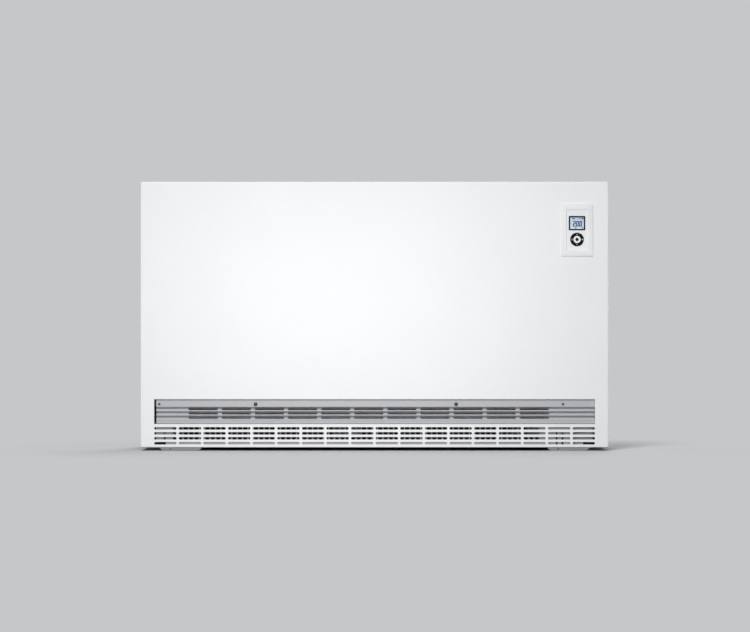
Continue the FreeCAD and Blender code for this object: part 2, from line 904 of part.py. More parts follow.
# Outlet grille and inlet filter
def grille_screw_places():
    """X of the two large and the two small fixings along the top strip."""
    large = ("opening_left_x + large_screw_left", "opening_right_x - large_screw_right")
    small = ("opening_left_x + small_screw_left", "opening_right_x - small_screw_right")
    return large, small


def drill_for_grille_screws(body, at, depth):
    """The four screw holes through the grille or the rail behind it."""
    holes = sketch_on(body, "XZ_Plane", at)
    large, small = grille_screw_places()
    for x in large + small:
        circle(holes, x, "grille_screw_z", "screw_radius + fit_gap")
    pocket(body, holes, depth)


def make_grille():
    """Pressed louvre sheet: V grooves with punched windows in their upward faces."""
    body = new_body("outlet_grille")
    profile = sketch_on(body, "YZ_Plane", "grille_left_x")
    back = "grille_y + sheet_thickness"
    front_line = [("grille_y", "grille_high_z"), ("grille_y", "groove_high_z")]
    back_line = [(back, "grille_high_z"), (back, "groove_high_z")]
    for groove in range(SIZES["groove_count"]):
        ridge = f"groove_high_z - {groove} * groove_pitch"
        front_line.append(("grille_y + groove_depth", f"{ridge} - groove_fall"))
        front_line.append(("grille_y", f"{ridge} - groove_pitch"))
        back_line.append((f"{back} + groove_depth", f"{ridge} - groove_fall"))
        back_line.append((back, f"{ridge} - groove_pitch"))
    front_line += [
        ("grille_y + grille_strip_lean", "grille_low_z"),
        ("grille_y + grille_flange", "grille_low_z"),
    ]
    flange_z = "grille_low_z + sheet_thickness"
    back_line += [
        (f"{back} + grille_strip_lean", flange_z),
        ("grille_y + grille_flange", flange_z),
    ]
    outline(profile, front_line + back_line[::-1])
    pad(body, profile, "grille_right_x - grille_left_x")
    window = sketch_on(body, "XZ_Plane", "grille_y")
    low_ridge = "groove_high_z - groove_count * groove_pitch"
    rectangle(
        window,
        "opening_left_x + window_left_margin",
        f"{low_ridge} + window_ridge",
        "opening_left_x + window_left_margin + window_pitch - window_bridge",
        f"{low_ridge} + groove_pitch - groove_fall - fit_gap",
    )
    first = pocket(body, window, "groove_depth + 2 * sheet_thickness")
    rows = ("V_Axis", "groove_pitch", "groove_count")
    repeat(body, first, "H_Axis", "window_pitch", "window_count", *rows)
    drill_for_grille_screws(body, "grille_y", "sheet_thickness")
    piece(body)


def make_grille_screws():
    """Two large slotted heads and two small plain ones."""
    large, small = grille_screw_places()
    length = "2 * sheet_thickness + fit_gap + shelf_thickness"
    slotted = screw("grille_screw", length)
    head = rod(
        "plain_head", "Y", ("0", "-small_head_height", "0"), "small_head_radius", "small_head_height"
    )
    shank = rod("plain_shank", "Y", ("0", "0", "0"), "screw_radius", length)
    plain = fuse("plain_screw", [head, shank])
    group(
        "grille_screws",
        (slotted, [moved(x, "grille_y", "grille_screw_z", 180) for x in large]),
        (plain, [moved(x, "grille_y", "grille_screw_z") for x in small]),
    )


def make_filter():
    """Perforated inlet filter sheet behind the slots, with cut corners and a stepped-back right end."""
    body = new_body("inlet_filter")
    plan = sketch_on(body, "XY_Plane", "filter_low_z")
    left, right = "opening_left_x + filter_end", "opening_right_x - filter_end"
    bend, step_y = "wiring_x + filter_reach", "filter_y + filter_step"
    outline(
        plan,
        [
            (left, "filter_y"),
            (f"{bend} + filter_thickness", "filter_y"),
            (f"{bend} + filter_thickness", step_y),
            (right, step_y),
            (right, f"{step_y} + filter_thickness"),
            (bend, f"{step_y} + filter_thickness"),
            (bend, "filter_y + filter_thickness"),
            (left, "filter_y + filter_thickness"),
        ],
    )
    pad(body, plan, "filter_high_z - filter_low_z")
    hole = sketch_on(body, "XZ_Plane", "filter_y")
    radius = "(filter_pitch - filter_web) / 2"
    x = "core_left_x - filter_field_end + filter_pitch / 2"
    low = (x, f"filter_low_z + filter_sill + {radius}")
    high = (x, f"filter_high_z - filter_head - {radius}")
    obround(hole, (low, high), radius)
    first = pocket(body, hole, "filter_thickness")
    repeat(body, first, "H_Axis", "filter_pitch", "filter_holes")
    slits = sketch_on(body, "XZ_Plane", "filter_y")
    slit_low, slit_high = "filter_low_z + filter_slit", "filter_high_z - filter_slit_drop"
    for x in (
        "core_left_x - filter_reach",
        "partition_x - filter_slit",
        "partition_x + 2.5 * filter_slit",
    ):
        rectangle(slits, x, slit_low, f"{x} + filter_slit", slit_high)
    pocket(body, slits, "filter_thickness")
    notch_z = "filter_low_z + filter_notch_height"
    for low_x, high_x, y in (
        (left, f"{left} + filter_notch_width", "filter_y"),
        (f"{right} - filter_notch_width", right, step_y),
    ):
        notch = rectangle(sketch_on(body, "XZ_Plane", y), low_x, "filter_low_z", high_x, notch_z)
        pocket(body, notch, "filter_thickness")
    piece(body)


# Inner frame
def duct_sketch(body, at, x, y):
    """One rectangular air duct about a place."""
    return centred(sketch_on(body, "XY_Plane", at), x, y, "duct_length", "duct_width")


def duct_rows():
    """Y of the front and the back row of air ducts."""
    return ("core_front_y + duct_inset", "core_back_y - duct_inset")


def make_shelf():
    """The shelf that carries the core: a bridge with end legs, a front rail and air slots."""
    body = new_body("core_shelf")
    plate = sketch_on(body, "XY_Plane", "shelf_low_z")
    rectangle(plate, "wool_left_x", "rail_y", "partition_x", "wool_back_y")
    pad(body, plate, "shelf_thickness")
    rail = sketch_on(body, "XZ_Plane", "rail_y")
    rail_ends = ("opening_left_x - rail_lap", "opening_right_x + rail_lap")
    rectangle(rail, rail_ends[0], "groove_high_z + sheet_thickness", rail_ends[1], "shelf_z")
    pad(body, rail, "shelf_thickness", True)
    legs = sketch_on(body, "XY_Plane", "floor_z")
    for low, high in (
        ("wool_left_x", "wool_left_x + shelf_thickness"),
        ("partition_x - shelf_thickness", "partition_x"),
    ):
        rectangle(legs, low, "leg_front_y", high, "leg_back_y")
    pad(body, legs, "fan_space + shelf_thickness")
    for y in duct_rows():
        duct = duct_sketch(body, "shelf_z", "core_left_x + brick_width / 2", y)
        first = pocket(body, duct, "shelf_thickness")
        repeat(body, first, "H_Axis", "brick_width", "brick_columns")
    drill_for_grille_screws(body, "rail_y", "shelf_thickness")
    piece(body)


def leg_places():
    """Y and Z of the legs of the heating elements, which lie in the joints between courses."""
    return [
        (y, f"core_low_z + {joint} * brick_height")
        for joint in range(1, SIZES["brick_courses"])
        for y in ("joint_front_y", "joint_back_y")
    ]


def core_holes(label, x, length):
    """Round tools through a wall for the element bushes and the core sensor."""
    tools = []
    for index, (y, z) in enumerate(leg_places()):
        place = (x, y, z)
        tools.append(rod(f"{label}_{index}", "X", place, "bush_radius + bush_seat_gap", length))
    place = (x, "core_mid_y", "sensor_z")
    tools.append(rod(f"{label}_sensor", "X", place, "sensor_radius + fit_gap", length))
    return tools


def make_plates():
    """The upright plate between the core and the wiring space, and the plate before the wool."""
    blank = block(
        "partition_blank",
        ("partition_x", "wool_front_y", "floor_z"),
        ("wiring_x", "wool_back_y", "lid_z"),
    )
    notch = block(
        "partition_notch",
        ("partition_x", "leg_back_y", "floor_z"),
        ("wiring_x", "wool_back_y", "bottom_z + base_return + fit_gap"),
    )
    holes = core_holes("partition_hole", "partition_x", "sheet_thickness")
    piece(cut("partition_plate", blank, holes + [notch]))
    piece(
        block(
            "inner_front_plate",
            ("wool_left_x", "wool_front_y - sheet_thickness", "shelf_z"),
            ("wiring_x", "wool_front_y", "lid_z"),
        )
    )


# Storage core
def make_brick():
    """One storage brick: an air duct through it and a heating groove along its top and bottom."""
    body = new_body("storage_brick")
    side, rear = "brick_gap / 2", "brick_depth - brick_gap / 2"
    foot = rectangle(sketch_on(body, "XY_Plane"), side, "0", f"brick_width - {side}", rear)
    pad(body, foot, "brick_height")
    duct = duct_sketch(body, "brick_height", "brick_width / 2", "duct_inset")
    pocket(body, duct, "brick_height")
    deep = "(element_radius + groove_clearance)"
    middle = "brick_depth - element_spread"
    grooves = sketch_on(body, "YZ_Plane")
    for mouth, floor in (("0", deep), ("brick_height", f"brick_height - {deep}")):
        outline(
            grooves,
            [
                (f"{middle} - joint_mouth * {deep}", mouth),
                (f"{middle} + joint_mouth * {deep}", mouth),
                (f"{middle} + joint_floor * {deep}", floor),
                (f"{middle} - joint_floor * {deep}", floor),
            ],
        )
    pocket(body, grooves, "brick_width", True)
    return body


def make_core():
    """The courses of bricks, a front and a back row in each."""
    brick = make_brick()
    for course in range(SIZES["brick_courses"]):
        z = f"core_low_z + {course} * brick_height"
        places = []
        for column in range(SIZES["brick_columns"]):
            x = f"core_left_x + {column} * brick_width"
            places.append(moved(x, "core_front_y", z))
            places.append(moved(f"{x} + brick_width", "core_back_y", z, 180))
        group(f"brick_course_{course + 1}", (brick, places))


def make_base_board():
    """The board under the core, with an air slot below each duct."""
    blank = block(
        "base_board_blank",
        ("core_left_x", "core_front_y", "shelf_z"),
        ("core_right_x", "core_back_y", "core_low_z"),
    )
    ducts = []
    for column in range(SIZES["brick_columns"]):
        x = f"core_left_x + {column} * brick_width + (brick_width - duct_length) / 2"
        for row, y in enumerate(duct_rows()):
            low = (x, f"{y} - duct_width / 2", "shelf_z")
            high = (f"{x} + duct_length", f"{y} + duct_width / 2", "core_low_z")
            ducts.append(block(f"base_duct_{column}_{row}", low, high))
    piece(cut("base_insulation_board", blank, ducts))


def make_side_boards():
    """The boards beside the core: pockets for the bends on the left, leg holes on the right."""
    left = block(
        "left_board_blank",
        ("wool_left_x", "core_front_y", "shelf_z"),
        ("core_left_x", "core_back_y", "roof_z"),
    )
    reach = "(element_spread + element_radius + bend_clearance)"
    room = "(element_radius + bend_clearance)"
    bends = []
    for index, (_, z) in enumerate(leg_places()[::2]):
        low = (f"core_left_x - {reach}", f"core_mid_y - {reach}", f"{z} - {room}")
        high = ("core_left_x", f"core_mid_y + {reach}", f"{z} + {room}")
        bends.append(block(f"bend_pocket_{index}", low, high))
    piece(cut("left_insulation_board", left, bends))
    right = block(
        "right_board_blank",
        ("core_right_x", "core_front_y", "shelf_z"),
        ("partition_x", "core_back_y", "roof_z"),
    )
    holes = core_holes("board_hole", "core_right_x", "side_insulation")
    piece(cut("right_insulation_board", right, holes))


def make_insulation():
    """Boards on all six sides of the core."""
    make_base_board()
    make_side_boards()
    for label, low, high in (
        ("front", ("wool_front_y", "shelf_z"), ("core_front_y", "roof_z")),
        ("back", ("core_back_y", "shelf_z"), ("wool_back_y", "roof_z")),
        ("top", ("wool_front_y", "roof_z"), ("wool_back_y", "lid_z")),
    ):
        name = f"{label}_insulation_board"
        piece(block(name, ("wool_left_x", *low), ("partition_x", *high)))


def make_element(index, z):
    """A hairpin heating element: two legs, a bend and a terminal pin on each leg."""
    label = f"heating_element_{index}"
    parts = []
    for side in ("front", "back"):
        y = f"joint_{side}_y"
        leg = rod(f"{label}_{side}_leg", "X", ("core_left_x", y, z), "element_radius", "leg_reach")
        pin = rod(f"{label}_{side}_pin", "X", ("cold_end_x", y, z), "pin_radius", "pin_length")
        parts += [leg, pin]
    bend = doc.addObject("Part::Torus", f"{label}_bend")
    bend.Angle3 = 180
    bend.Placement = FreeCAD.Placement(FreeCAD.Vector(), FreeCAD.Rotation(DIRECTIONS["Z"], 90))
    set_at(bend, "core_left_x", "core_mid_y", z)
    bind(bend, "Radius1", "element_spread")
    bind(bend, "Radius2", "element_radius")
    piece(fuse(label, parts + [bend]))


def make_elements():
    """The heating elements, the ceramic bushes round their legs and the core sensor."""
    for index, (_, z) in enumerate(leg_places()[::2], start=1):
        make_element(index, z)
    whole = "sleeve_length + sheet_thickness + collar_length"
    start = ("-sleeve_length", "0", "0")
    sleeve = rod("sleeve", "X", start, "bush_radius", "sleeve_length + sheet_thickness")
    collar = rod("collar", "X", ("sheet_thickness", "0", "0"), "collar_radius", "collar_length")
    bore = rod("sleeve_bore", "X", start, "element_radius + fit_gap", whole)
    bush = cut("element_bush", fuse("element_bush_blank", [sleeve, collar]), [bore])
    group("element_bushes", (bush, [moved("partition_x", y, z) for y, z in leg_places()]))
    tip = ("core_right_x", "core_mid_y", "sensor_z")
    probe = rod("sensor_probe", "X", tip, "sensor_radius", "wiring_x - core_right_x")
    seat = ("wiring_x", "core_mid_y", "sensor_z")
    head = rod("sensor_head", "X", seat, "sensor_head_radius", "sensor_head_length")
    piece(fuse("core_sensor", [probe, head]))


# Air path
def make_divider():
    """The sheet that parts the outlet chamber from the fan space, with the flap's opening and ears."""
    body = new_body("air_divider")
    profile = sketch_on(body, "YZ_Plane", "wool_left_x + shelf_thickness")
    front = "rail_y + shelf_thickness + fit_gap"
    wall = "divider_y + sheet_thickness"
    outline(
        profile,
        [
            (front, "divider_low_z"),
            (wall, "divider_low_z"),
            (wall, "shelf_low_z - sheet_thickness"),
            (f"{wall} + divider_flange", "shelf_low_z - sheet_thickness"),
            (f"{wall} + divider_flange", "shelf_low_z"),
            ("divider_y", "shelf_low_z"),
            ("divider_y", "divider_high_z"),
            (front, "divider_high_z"),
        ],
    )
    pad(body, profile, "partition_x - wool_left_x - 2 * shelf_thickness")
    opening = sketch_on(body, "XZ_Plane", "divider_y")
    rectangle(
        opening,
        "flap_left_x + flap_lap",
        "flap_z - flap_height + flap_lap",
        "flap_right_x - flap_lap",
        "flap_z + flap_ear",
    )
    pocket(body, opening, "sheet_thickness")
    notch = sketch_on(body, "XZ_Plane", "divider_y")
    ends = ("flap_left_x - flap_shaft_end - flap_gap", "flap_right_x + flap_shaft_end + flap_gap")
    rectangle(notch, ends[0], "flap_z - flap_ear", ends[1], "flap_z + flap_ear")
    pocket(body, notch, "sheet_thickness")
    for x in ("flap_left_x - flap_stand - sheet_thickness", "flap_right_x + flap_stand"):
        ear = sketch_on(body, "YZ_Plane", x)
        low_z, high_z = "flap_z - 2 * flap_ear", "flap_z + flap_ear - flap_gap"
        rectangle(ear, "divider_y", low_z, "flap_y + flap_ear", high_z)
        circle(ear, "flap_y", "flap_z", "flap_shaft_radius + running_gap")
        pad(body, ear, "sheet_thickness")
    piece(body)


def make_flap():
    """The mixing flap: a plate with a rolled eye, and the shaft that it turns with."""
    body = new_body("mixing_flap")
    set_at(body, "flap_left_x", "flap_y", "flap_z")
    inner = "flap_shaft_radius + running_gap"
    outer = f"{inner} + sheet_thickness"
    length = "flap_right_x - flap_left_x"
    profile = sketch_on(body, "YZ_Plane")
    outline(
        profile,
        [
            (f"-({outer})", "-flap_height"),
            (f"-({inner})", "-flap_height"),
            (f"-({inner})", "0"),
            ("0", inner, inner, -1),
            (inner, "0", inner, -1),
            ("0", f"-({inner})", inner, -1),
            ("0", f"-({outer})"),
            (outer, "0", outer, 1),
            ("0", outer, outer, 1),
            (f"-({outer})", "0", outer, 1),
        ],
    )
    pad(body, profile, length)
    piece(body)
    start = ("flap_left_x - flap_shaft_end", "flap_y", "flap_z")
    piece(rod("flap_shaft", "X", start, "flap_shaft_radius", f"{length} + 2 * flap_shaft_end"))


def make_bimetal():
    """The bimetal strip behind the flap, fixed to the divider below the opening."""
    body = new_body("bimetal_strip")
    profile = sketch_on(body, "YZ_Plane", "core_left_x + core_width / 2")
    rear = "divider_y + sheet_thickness"
    tip = "divider_y - flap_gap + fit_gap"
    foot_z = "divider_high_z + flap_stand"
    bend_z = "flap_z - flap_height + flap_lap + sheet_thickness"
    tip_z = "flap_z - flap_height / 2"
    end_z = f"{tip_z} + flap_lap"
    outline(
        profile,
        [
            (rear, foot_z),
            (f"{rear} + sheet_thickness", foot_z),
            (f"{rear} + sheet_thickness", bend_z),
            (f"{tip} + sheet_thickness", tip_z),
            (f"{tip} + sheet_thickness", end_z),
            (tip, end_z),
            (tip, tip_z),
            (rear, bend_z),
        ],
    )
    pad(body, profile, "strip_width")
    piece(body)


def make_fan_housing(side):
    """A scroll between two end plates that hangs under the shelf, and the tongue at its mouth."""
    body = set_at(new_body(f"{side}_fan_housing"), f"{side}_fan_x", "fan_y", "fan_z")
    turn = "(scroll_radius + sheet_thickness)"
    scroll = sketch_on(body, "YZ_Plane")
    outline(
        scroll,
        [
            ("-scroll_mouth", "-scroll_radius"),
            ("0", "-scroll_radius"),
            ("scroll_radius", "0", "scroll_radius", 1),
            ("scroll_radius", "fan_rise"),
            (f"{turn} + fan_flange", "fan_rise"),
            (f"{turn} + fan_flange", "fan_rise - sheet_thickness"),
            (turn, "fan_rise - sheet_thickness"),
            (turn, "0"),
            ("0", f"-{turn}", turn, -1),
            ("-scroll_mouth", f"-{turn}"),
        ],
    )
    pad(body, scroll, "fan_length")
    tongue = sketch_on(body, "YZ_Plane")
    edge = "sheet_thickness - scroll_mouth"
    rectangle(tongue, "-scroll_mouth", "scroll_radius", edge, "fan_rise")
    pad(body, tongue, "fan_length")
    for at in ("0", "fan_length - sheet_thickness"):
        plate = sketch_on(body, "YZ_Plane", at)
        outline(
            plate,
            [
                ("-scroll_radius", "-rotor_radius / 2"),
                ("-scroll_mouth", f"-{turn}"),
                (turn, f"-{turn}"),
                (turn, "fan_rise"),
                ("-scroll_radius", "fan_rise"),
            ],
        )
        circle(plate, "0", "0", "bush_radius + bush_seat_gap")
        pad(body, plate, "sheet_thickness")
    piece(body)


def make_fan_rotor(side):
    """A cross-flow rotor: curved blades between two end discs."""
    start = f"{side}_fan_x + rotor_end_gap"
    body = set_at(new_body(f"{side}_fan_rotor"), start, "fan_y", "fan_z")
    length = "fan_length - 2 * rotor_end_gap"
    for at in ("0", f"{length} - rotor_disc"):
        disc = sketch_on(body, "YZ_Plane", at)
        circle(disc, "0", "0", "rotor_radius")
        circle(disc, "0", "0", "shaft_radius + running_gap")
        pad(body, disc, "rotor_disc")
    blade = sketch_on(body, "YZ_Plane")
    inner, outer = "rotor_radius - rotor_blade", "rotor_radius - blade_thickness / 2"
    lean, bow = "rotor_blade / 2", "rotor_blade * blade_bow"
    outline(
        blade,
        [
            (inner, "0"),
            (outer, lean, bow, -1),
            (outer, f"{lean} - blade_thickness"),
            (inner, "-blade_thickness", bow, 1),
        ],
    )
    first = pad(body, blade, length)
    around = body.newObject("PartDesign::PolarPattern", "around")
    around.Originals = [first]
    around.Axis = (blade, ["N_Axis"])
    around.Angle = 360
    bind(around, "Occurrences", "rotor_blades")
    body.Tip = around
    doc.recompute()
    piece(body)


def make_fan_shaft(side):
    """The fan shaft with the armature of its motor."""
    body = set_at(new_body(f"{side}_fan_shaft"), f"{side}_fan_x", "fan_y", "fan_z")
    near = "fan_length + motor_standoff"
    far = f"{near} + motor_length"
    start, finish = "-bush_length - sheet_thickness", "fan_length + motor_reach"
    profile = sketch_on(body, "XY_Plane")
    outline(
        profile,
        [
            (start, "0"),
            (finish, "0"),
            (finish, "shaft_radius"),
            (far, "shaft_radius"),
            (far, "armature_radius"),
            (near, "armature_radius"),
            (near, "shaft_radius"),
            (start, "shaft_radius"),
        ],
    )
    revolve(body, profile, "H_Axis")
    piece(body)


def make_fan_motor(side):
    """The motor: a square stator on four posts and an end shield with the shaft's bearing hole."""
    body = set_at(new_body(f"{side}_fan_motor"), f"{side}_fan_x", "fan_y", "fan_z")
    near = "fan_length + motor_standoff"
    frame = sketch_on(body, "YZ_Plane", near)
    centred(frame, "0", "0", "motor_side", "motor_side")
    circle(frame, "0", "0", "armature_radius + fit_gap")
    pad(body, frame, "motor_length")
    posts = sketch_on(body, "YZ_Plane", "fan_length")
    reach = "(motor_side / 2 - motor_post_radius - sheet_thickness)"
    for y in (reach, f"-{reach}"):
        for z in (reach, f"-{reach}"):
            circle(posts, y, z, "motor_post_radius")
    pad(body, posts, "motor_standoff")
    shield = sketch_on(body, "YZ_Plane", f"{near} + motor_length")
    circle(shield, "0", "0", "motor_shield_radius")
    circle(shield, "0", "0", "shaft_radius + running_gap")
    pad(body, shield, "motor_shield")
    piece(body)


def make_fan_bearings(sides):
    """The bush at the free end of each fan shaft."""
    body = new_body("fan_bearing")
    for at, radius in (("-bush_length", "bush_radius + bush_rim"), ("0", "bush_radius")):
        ring = sketch_on(body, "YZ_Plane", at)
        circle(ring, "0", "0", radius)
        circle(ring, "0", "0", "shaft_radius + running_gap")
        pad(body, ring, "bush_length")
    group("fan_bearings", (body, [moved(f"{side}_fan_x", "fan_y", "fan_z") for side in sides]))


def make_air_path():
    """The divider, the flap and the two fan units."""
    make_divider()
    make_flap()
    make_bimetal()
    sides = ("left", "right")
    for side in sides:
        make_fan_housing(side)
        make_fan_rotor(side)
        make_fan_shaft(side)
        make_fan_motor(side)
    make_fan_bearings(sides)


# Wiring space
def make_terminal_block():
    """The mains terminal block with a screw hole and a wire hole for each way."""
    body = new_body("terminal_block")
    low_y, low_z = "core_back_y - terminal_inset", "core_low_z + terminal_height"
    face_x = "wiring_x + terminal_depth"
    foot = sketch_on(body, "YZ_Plane", "wiring_x")
    width = "terminal_ways * terminal_pitch"
    rectangle(foot, low_y, low_z, f"{low_y} + {width}", f"{low_z} + terminal_height")
    pad(body, foot, "terminal_depth")
    way_y = f"{low_y} + terminal_pitch / 2"
    screws = sketch_on(body, "YZ_Plane", face_x)
    circle(screws, way_y, f"{low_z} + terminal_screw_level * terminal_height", "terminal_hole_radius")
    first = pocket(body, screws, "terminal_hole_depth")
    repeat(body, first, "H_Axis", "terminal_pitch", "terminal_ways")
    wires = sketch_on(body, "XY_Plane", low_z)
    circle(wires, "wiring_x + terminal_depth / 3", way_y, "terminal_hole_radius")
    first = pocket(body, wires, "terminal_hole_depth", True)
    repeat(body, first, "V_Axis", "terminal_pitch", "terminal_ways")
    piece(body)


def make_power_board():
    """The power board with its relays and the four pressed-in spacers that hold it off the partition."""
    low_y, low_z = "power_board_y", "power_board_z"
    back_x = "wiring_x + spacer_length"
    face_x = f"{back_x} + board_thickness"
    high = (face_x, f"{low_y} + power_board_width", f"{low_z} + power_board_height")
    parts = [block("board_plate", (back_x, low_y, low_z), high)]
    for index in range(SIZES["relay_count"]):
        corner_y = f"{low_y} + (power_board_width - relay_width) / 2"
        corner_z = f"{low_z} + 2 * spacer_inset + {index} * relay_pitch"
        far = (f"{face_x} + relay_depth", f"{corner_y} + relay_width", f"{corner_z} + relay_height")
        parts.append(block(f"relay_{index}", (face_x, corner_y, corner_z), far))
    for y in (f"{low_y} + spacer_inset", f"{low_y} + power_board_width - spacer_inset"):
        for z in (f"{low_z} + spacer_inset", f"{low_z} + power_board_height - spacer_inset"):
            label = f"board_spacer_{len(parts)}"
            parts.append(rod(label, "X", ("wiring_x", y, z), "spacer_radius", "spacer_length"))
    piece(fuse("power_board", parts))


def make_cutout():
    """The safety cut-out on the partition and the reset button in its collar."""
    case = block(
        "cutout_case",
        ("wiring_x", "cutout_y - cutout_width / 2", "cutout_z - cutout_height / 2"),
        ("wiring_x + cutout_depth", "cutout_y + cutout_width / 2", "cutout_z + cutout_height / 2"),
    )
    face = ("wiring_x + cutout_depth", "cutout_y", "cutout_z")
    collar = rod("cutout_collar", "X", face, "cutout_collar_radius", "cutout_collar_length")
    end_x = "wiring_x + cutout_depth + cutout_collar_length"
    depth = "(button_length - button_travel)"
    floor = (f"{end_x} - {depth} - button_travel - fit_gap", "cutout_y", "cutout_z")
    bore = rod("cutout_bore", "X", floor, "button_radius + fit_gap", "2 * button_length")
    piece(cut("safety_cutout", fuse("cutout_body", [case, collar]), [bore]))
    start = (f"{end_x} - {depth}", "cutout_y", "cutout_z")
    piece(rod("cutout_reset_button", "X", start, "button_radius", "button_length"))


def make_cable_bush():
    """The snap-in bush round the cable entry in the back."""
    body = new_body("cable_bush")
    seat = "cable_radius + cable_bush_wall - fit_gap"
    rim = "cable_radius + 2 * cable_bush_wall"
    for at, radius, length in (
        ("back_y + cable_bush_lip", rim, "cable_bush_lip"),
        ("back_y", seat, "sheet_thickness"),
        ("back_y - sheet_thickness", rim, "cable_bush_lip"),
    ):
        ring = sketch_on(body, "XZ_Plane", at)
        circle(ring, "cable_x", "cable_z", radius)
        circle(ring, "cable_x", "cable_z", "cable_radius")
        pad(body, ring, length)
    piece(body)


# Control unit
def control_rectangle(body, at, width, height, z="control_z"):
    """A rectangle about the middle of the control unit."""
    return centred(sketch_on(body, "XZ_Plane", at), "control_x", z, width, height)


def make_bezel():
    """The raised frame: bevelled edge, sunk field with sloping sides, display and key openings."""
    body = new_body("control_bezel")
    pad(body, control_rectangle(body, "front_y", "bezel_width", "bezel_height"), "bezel_proud")
    soften(body, "Fillet", "bezel_corner", along_axis(1))
    soften(body, "Chamfer", "bezel_chamfer", on_plane(1, "front_y - bezel_proud"))
    skirt = control_rectangle(body, "front_y", "skirt_width", "skirt_height")
    pad(body, skirt, "skirt_depth", True)
    inside = ("skirt_width - 2 * bezel_wall", "skirt_height - 2 * bezel_wall")
    hollow = control_rectangle(body, "skirt_back_y", *inside)
    pocket(body, hollow, "skirt_back_y - field_back_y", True)
    rim_y = "front_y - bezel_proud"
    field = control_rectangle(body, rim_y, "recess_width", "recess_height")
    pocket(body, field, "recess_depth", flare="-recess_slope")
    room = ("display_width + 2 * key_gap", "display_height + 2 * key_gap")
    pocket(body, control_rectangle(body, "field_y", *room, "display_z"), "bezel_wall")
    corner = along_axis(1)
    sides = [on_plane(0, f"control_x + {side} * ({room[0]}) / 2") for side in (-1, 1)]
    soften(
        body,
        "Fillet",
        "display_corner + key_gap",
        lambda ends: corner(ends) and any(side(ends) for side in sides),
    )
    ring = circle(sketch_on(body, "XZ_Plane", "field_y"), "control_x", "ring_z", "ring_radius + key_gap")
    pocket(body, ring, "bezel_wall")
    piece(body)


def make_display():
    """The black display frame and the panel that fills it from behind."""
    body = new_body("display_frame")
    face = "field_y - display_proud"
    depth = "bezel_wall + display_proud"
    rim = control_rectangle(body, face, "display_width", "display_height", "display_z")
    pad(body, rim, depth, True)
    soften(body, "Fillet", "display_corner", along_axis(1))
    width, height = "display_width - 2 * display_border", "display_height - 2 * display_border"
    pocket(body, control_rectangle(body, face, width, height, "display_z"), depth)
    piece(body)
    half_width = f"(({width}) / 2 - display_glass_gap)"
    half_height = f"(({height}) / 2 - display_glass_gap)"
    glass = block(
        "panel_glass",
        (f"control_x - {half_width}", "field_y + display_sink", f"display_z - {half_height}"),
        (f"control_x + {half_width}", "field_back_y", f"display_z + {half_height}"),
    )
    wide, tall = "(display_width / 2 + panel_lap)", "(display_height / 2 + panel_lap / 2)"
    back = block(
        "panel_back",
        (f"control_x - {wide}", "field_back_y", f"display_z - {tall}"),
        (f"control_x + {wide}", "control_board_y", f"display_z + {tall}"),
    )
    piece(fuse("lcd_panel", [glass, back]))


def ring_sector(sketch, inner, outer):
    """A quarter of a ring about +Z, held off its neighbours by half a split on each side."""
    corners = []
    for radius, sides in ((outer, (1, -1)), (inner, (-1, 1))):
        for side in sides:
            across = f"sqrt(({radius}) ^ 2 - (key_split / 2) ^ 2)"
            x = f"{side} * ({across} - key_split / 2) / sqrt(2)"
            z = f"({across} + key_split / 2) / sqrt(2)"
            corners.append((x, z))
    corners[1] = (*corners[1], outer, 1)
    corners[3] = (*corners[3], inner, -1)
    return outline(sketch, corners)


def make_key(label, angle):
    """One quarter of the key ring with a lip that holds it behind the field."""
    body = new_body(label)
    turn = FreeCAD.Rotation(DIRECTIONS["Y"], angle)
    body.Placement = FreeCAD.Placement(FreeCAD.Vector(), turn)
    set_at(body, "control_x", "key_front_y", "ring_z")
    inner = "hub_radius + key_gap"
    depth = "key_base_y - key_front_y"
    pad(body, ring_sector(sketch_on(body, "XZ_Plane"), inner, "ring_radius"), depth, True)
    lip = sketch_on(body, "XZ_Plane", f"{depth} - key_lip")
    pad(body, ring_sector(lip, inner, "ring_radius + key_lip"), "key_lip", True)
    piece(body)


def make_keys():
    """The four ring keys and the dished centre key."""
    for label, angle in (("plus_key", 0), ("right_key", 90), ("minus_key", 180), ("left_key", 270)):
        make_key(label, angle)
    face = ("control_x", "key_front_y - display_sink", "ring_z")
    blank = rod("centre_blank", "Y", face, "hub_radius", "key_base_y - key_front_y + display_sink")
    dish = rod("centre_dish", "Y", face, "dot_radius", "display_sink")
    piece(cut("centre_key", blank, [dish]))


def make_control_rear():
    """The circuit board behind the display and keys, and the cover that closes the unit."""
    half_width = "(skirt_width / 2 - bezel_wall - fit_gap)"
    half_height = "(skirt_height / 2 - bezel_wall - fit_gap)"
    board_back = "control_board_y + board_thickness"
    piece(
        block(
            "control_board",
            (f"control_x - {half_width}", "control_board_y", f"control_z - {half_height}"),
            (f"control_x + {half_width}", board_back, f"control_z + {half_height}"),
        )
    )
    cover = new_body("control_cover")
    shell = control_rectangle(cover, "skirt_back_y", "skirt_width", "skirt_height")
    pad(cover, shell, "cover_depth", True)
    inside = ("skirt_width - 2 * bezel_wall", "skirt_height - 2 * bezel_wall")
    hollow = control_rectangle(cover, "skirt_back_y", *inside)
    pocket(cover, hollow, "cover_depth - bezel_wall")
    posts = sketch_on(cover, "XZ_Plane", board_back)
    reach_x, reach_z = f"({half_width} - cover_post_inset)", f"({half_height} - cover_post_inset)"
    for x in (f"control_x - {reach_x}", f"control_x + {reach_x}"):
        for z in (f"control_z - {reach_z}", f"control_z + {reach_z}"):
            circle(posts, x, z, "cover_post_radius")
    pad(cover, posts, f"skirt_back_y + cover_depth - ({board_back})", True)
    piece(cover)


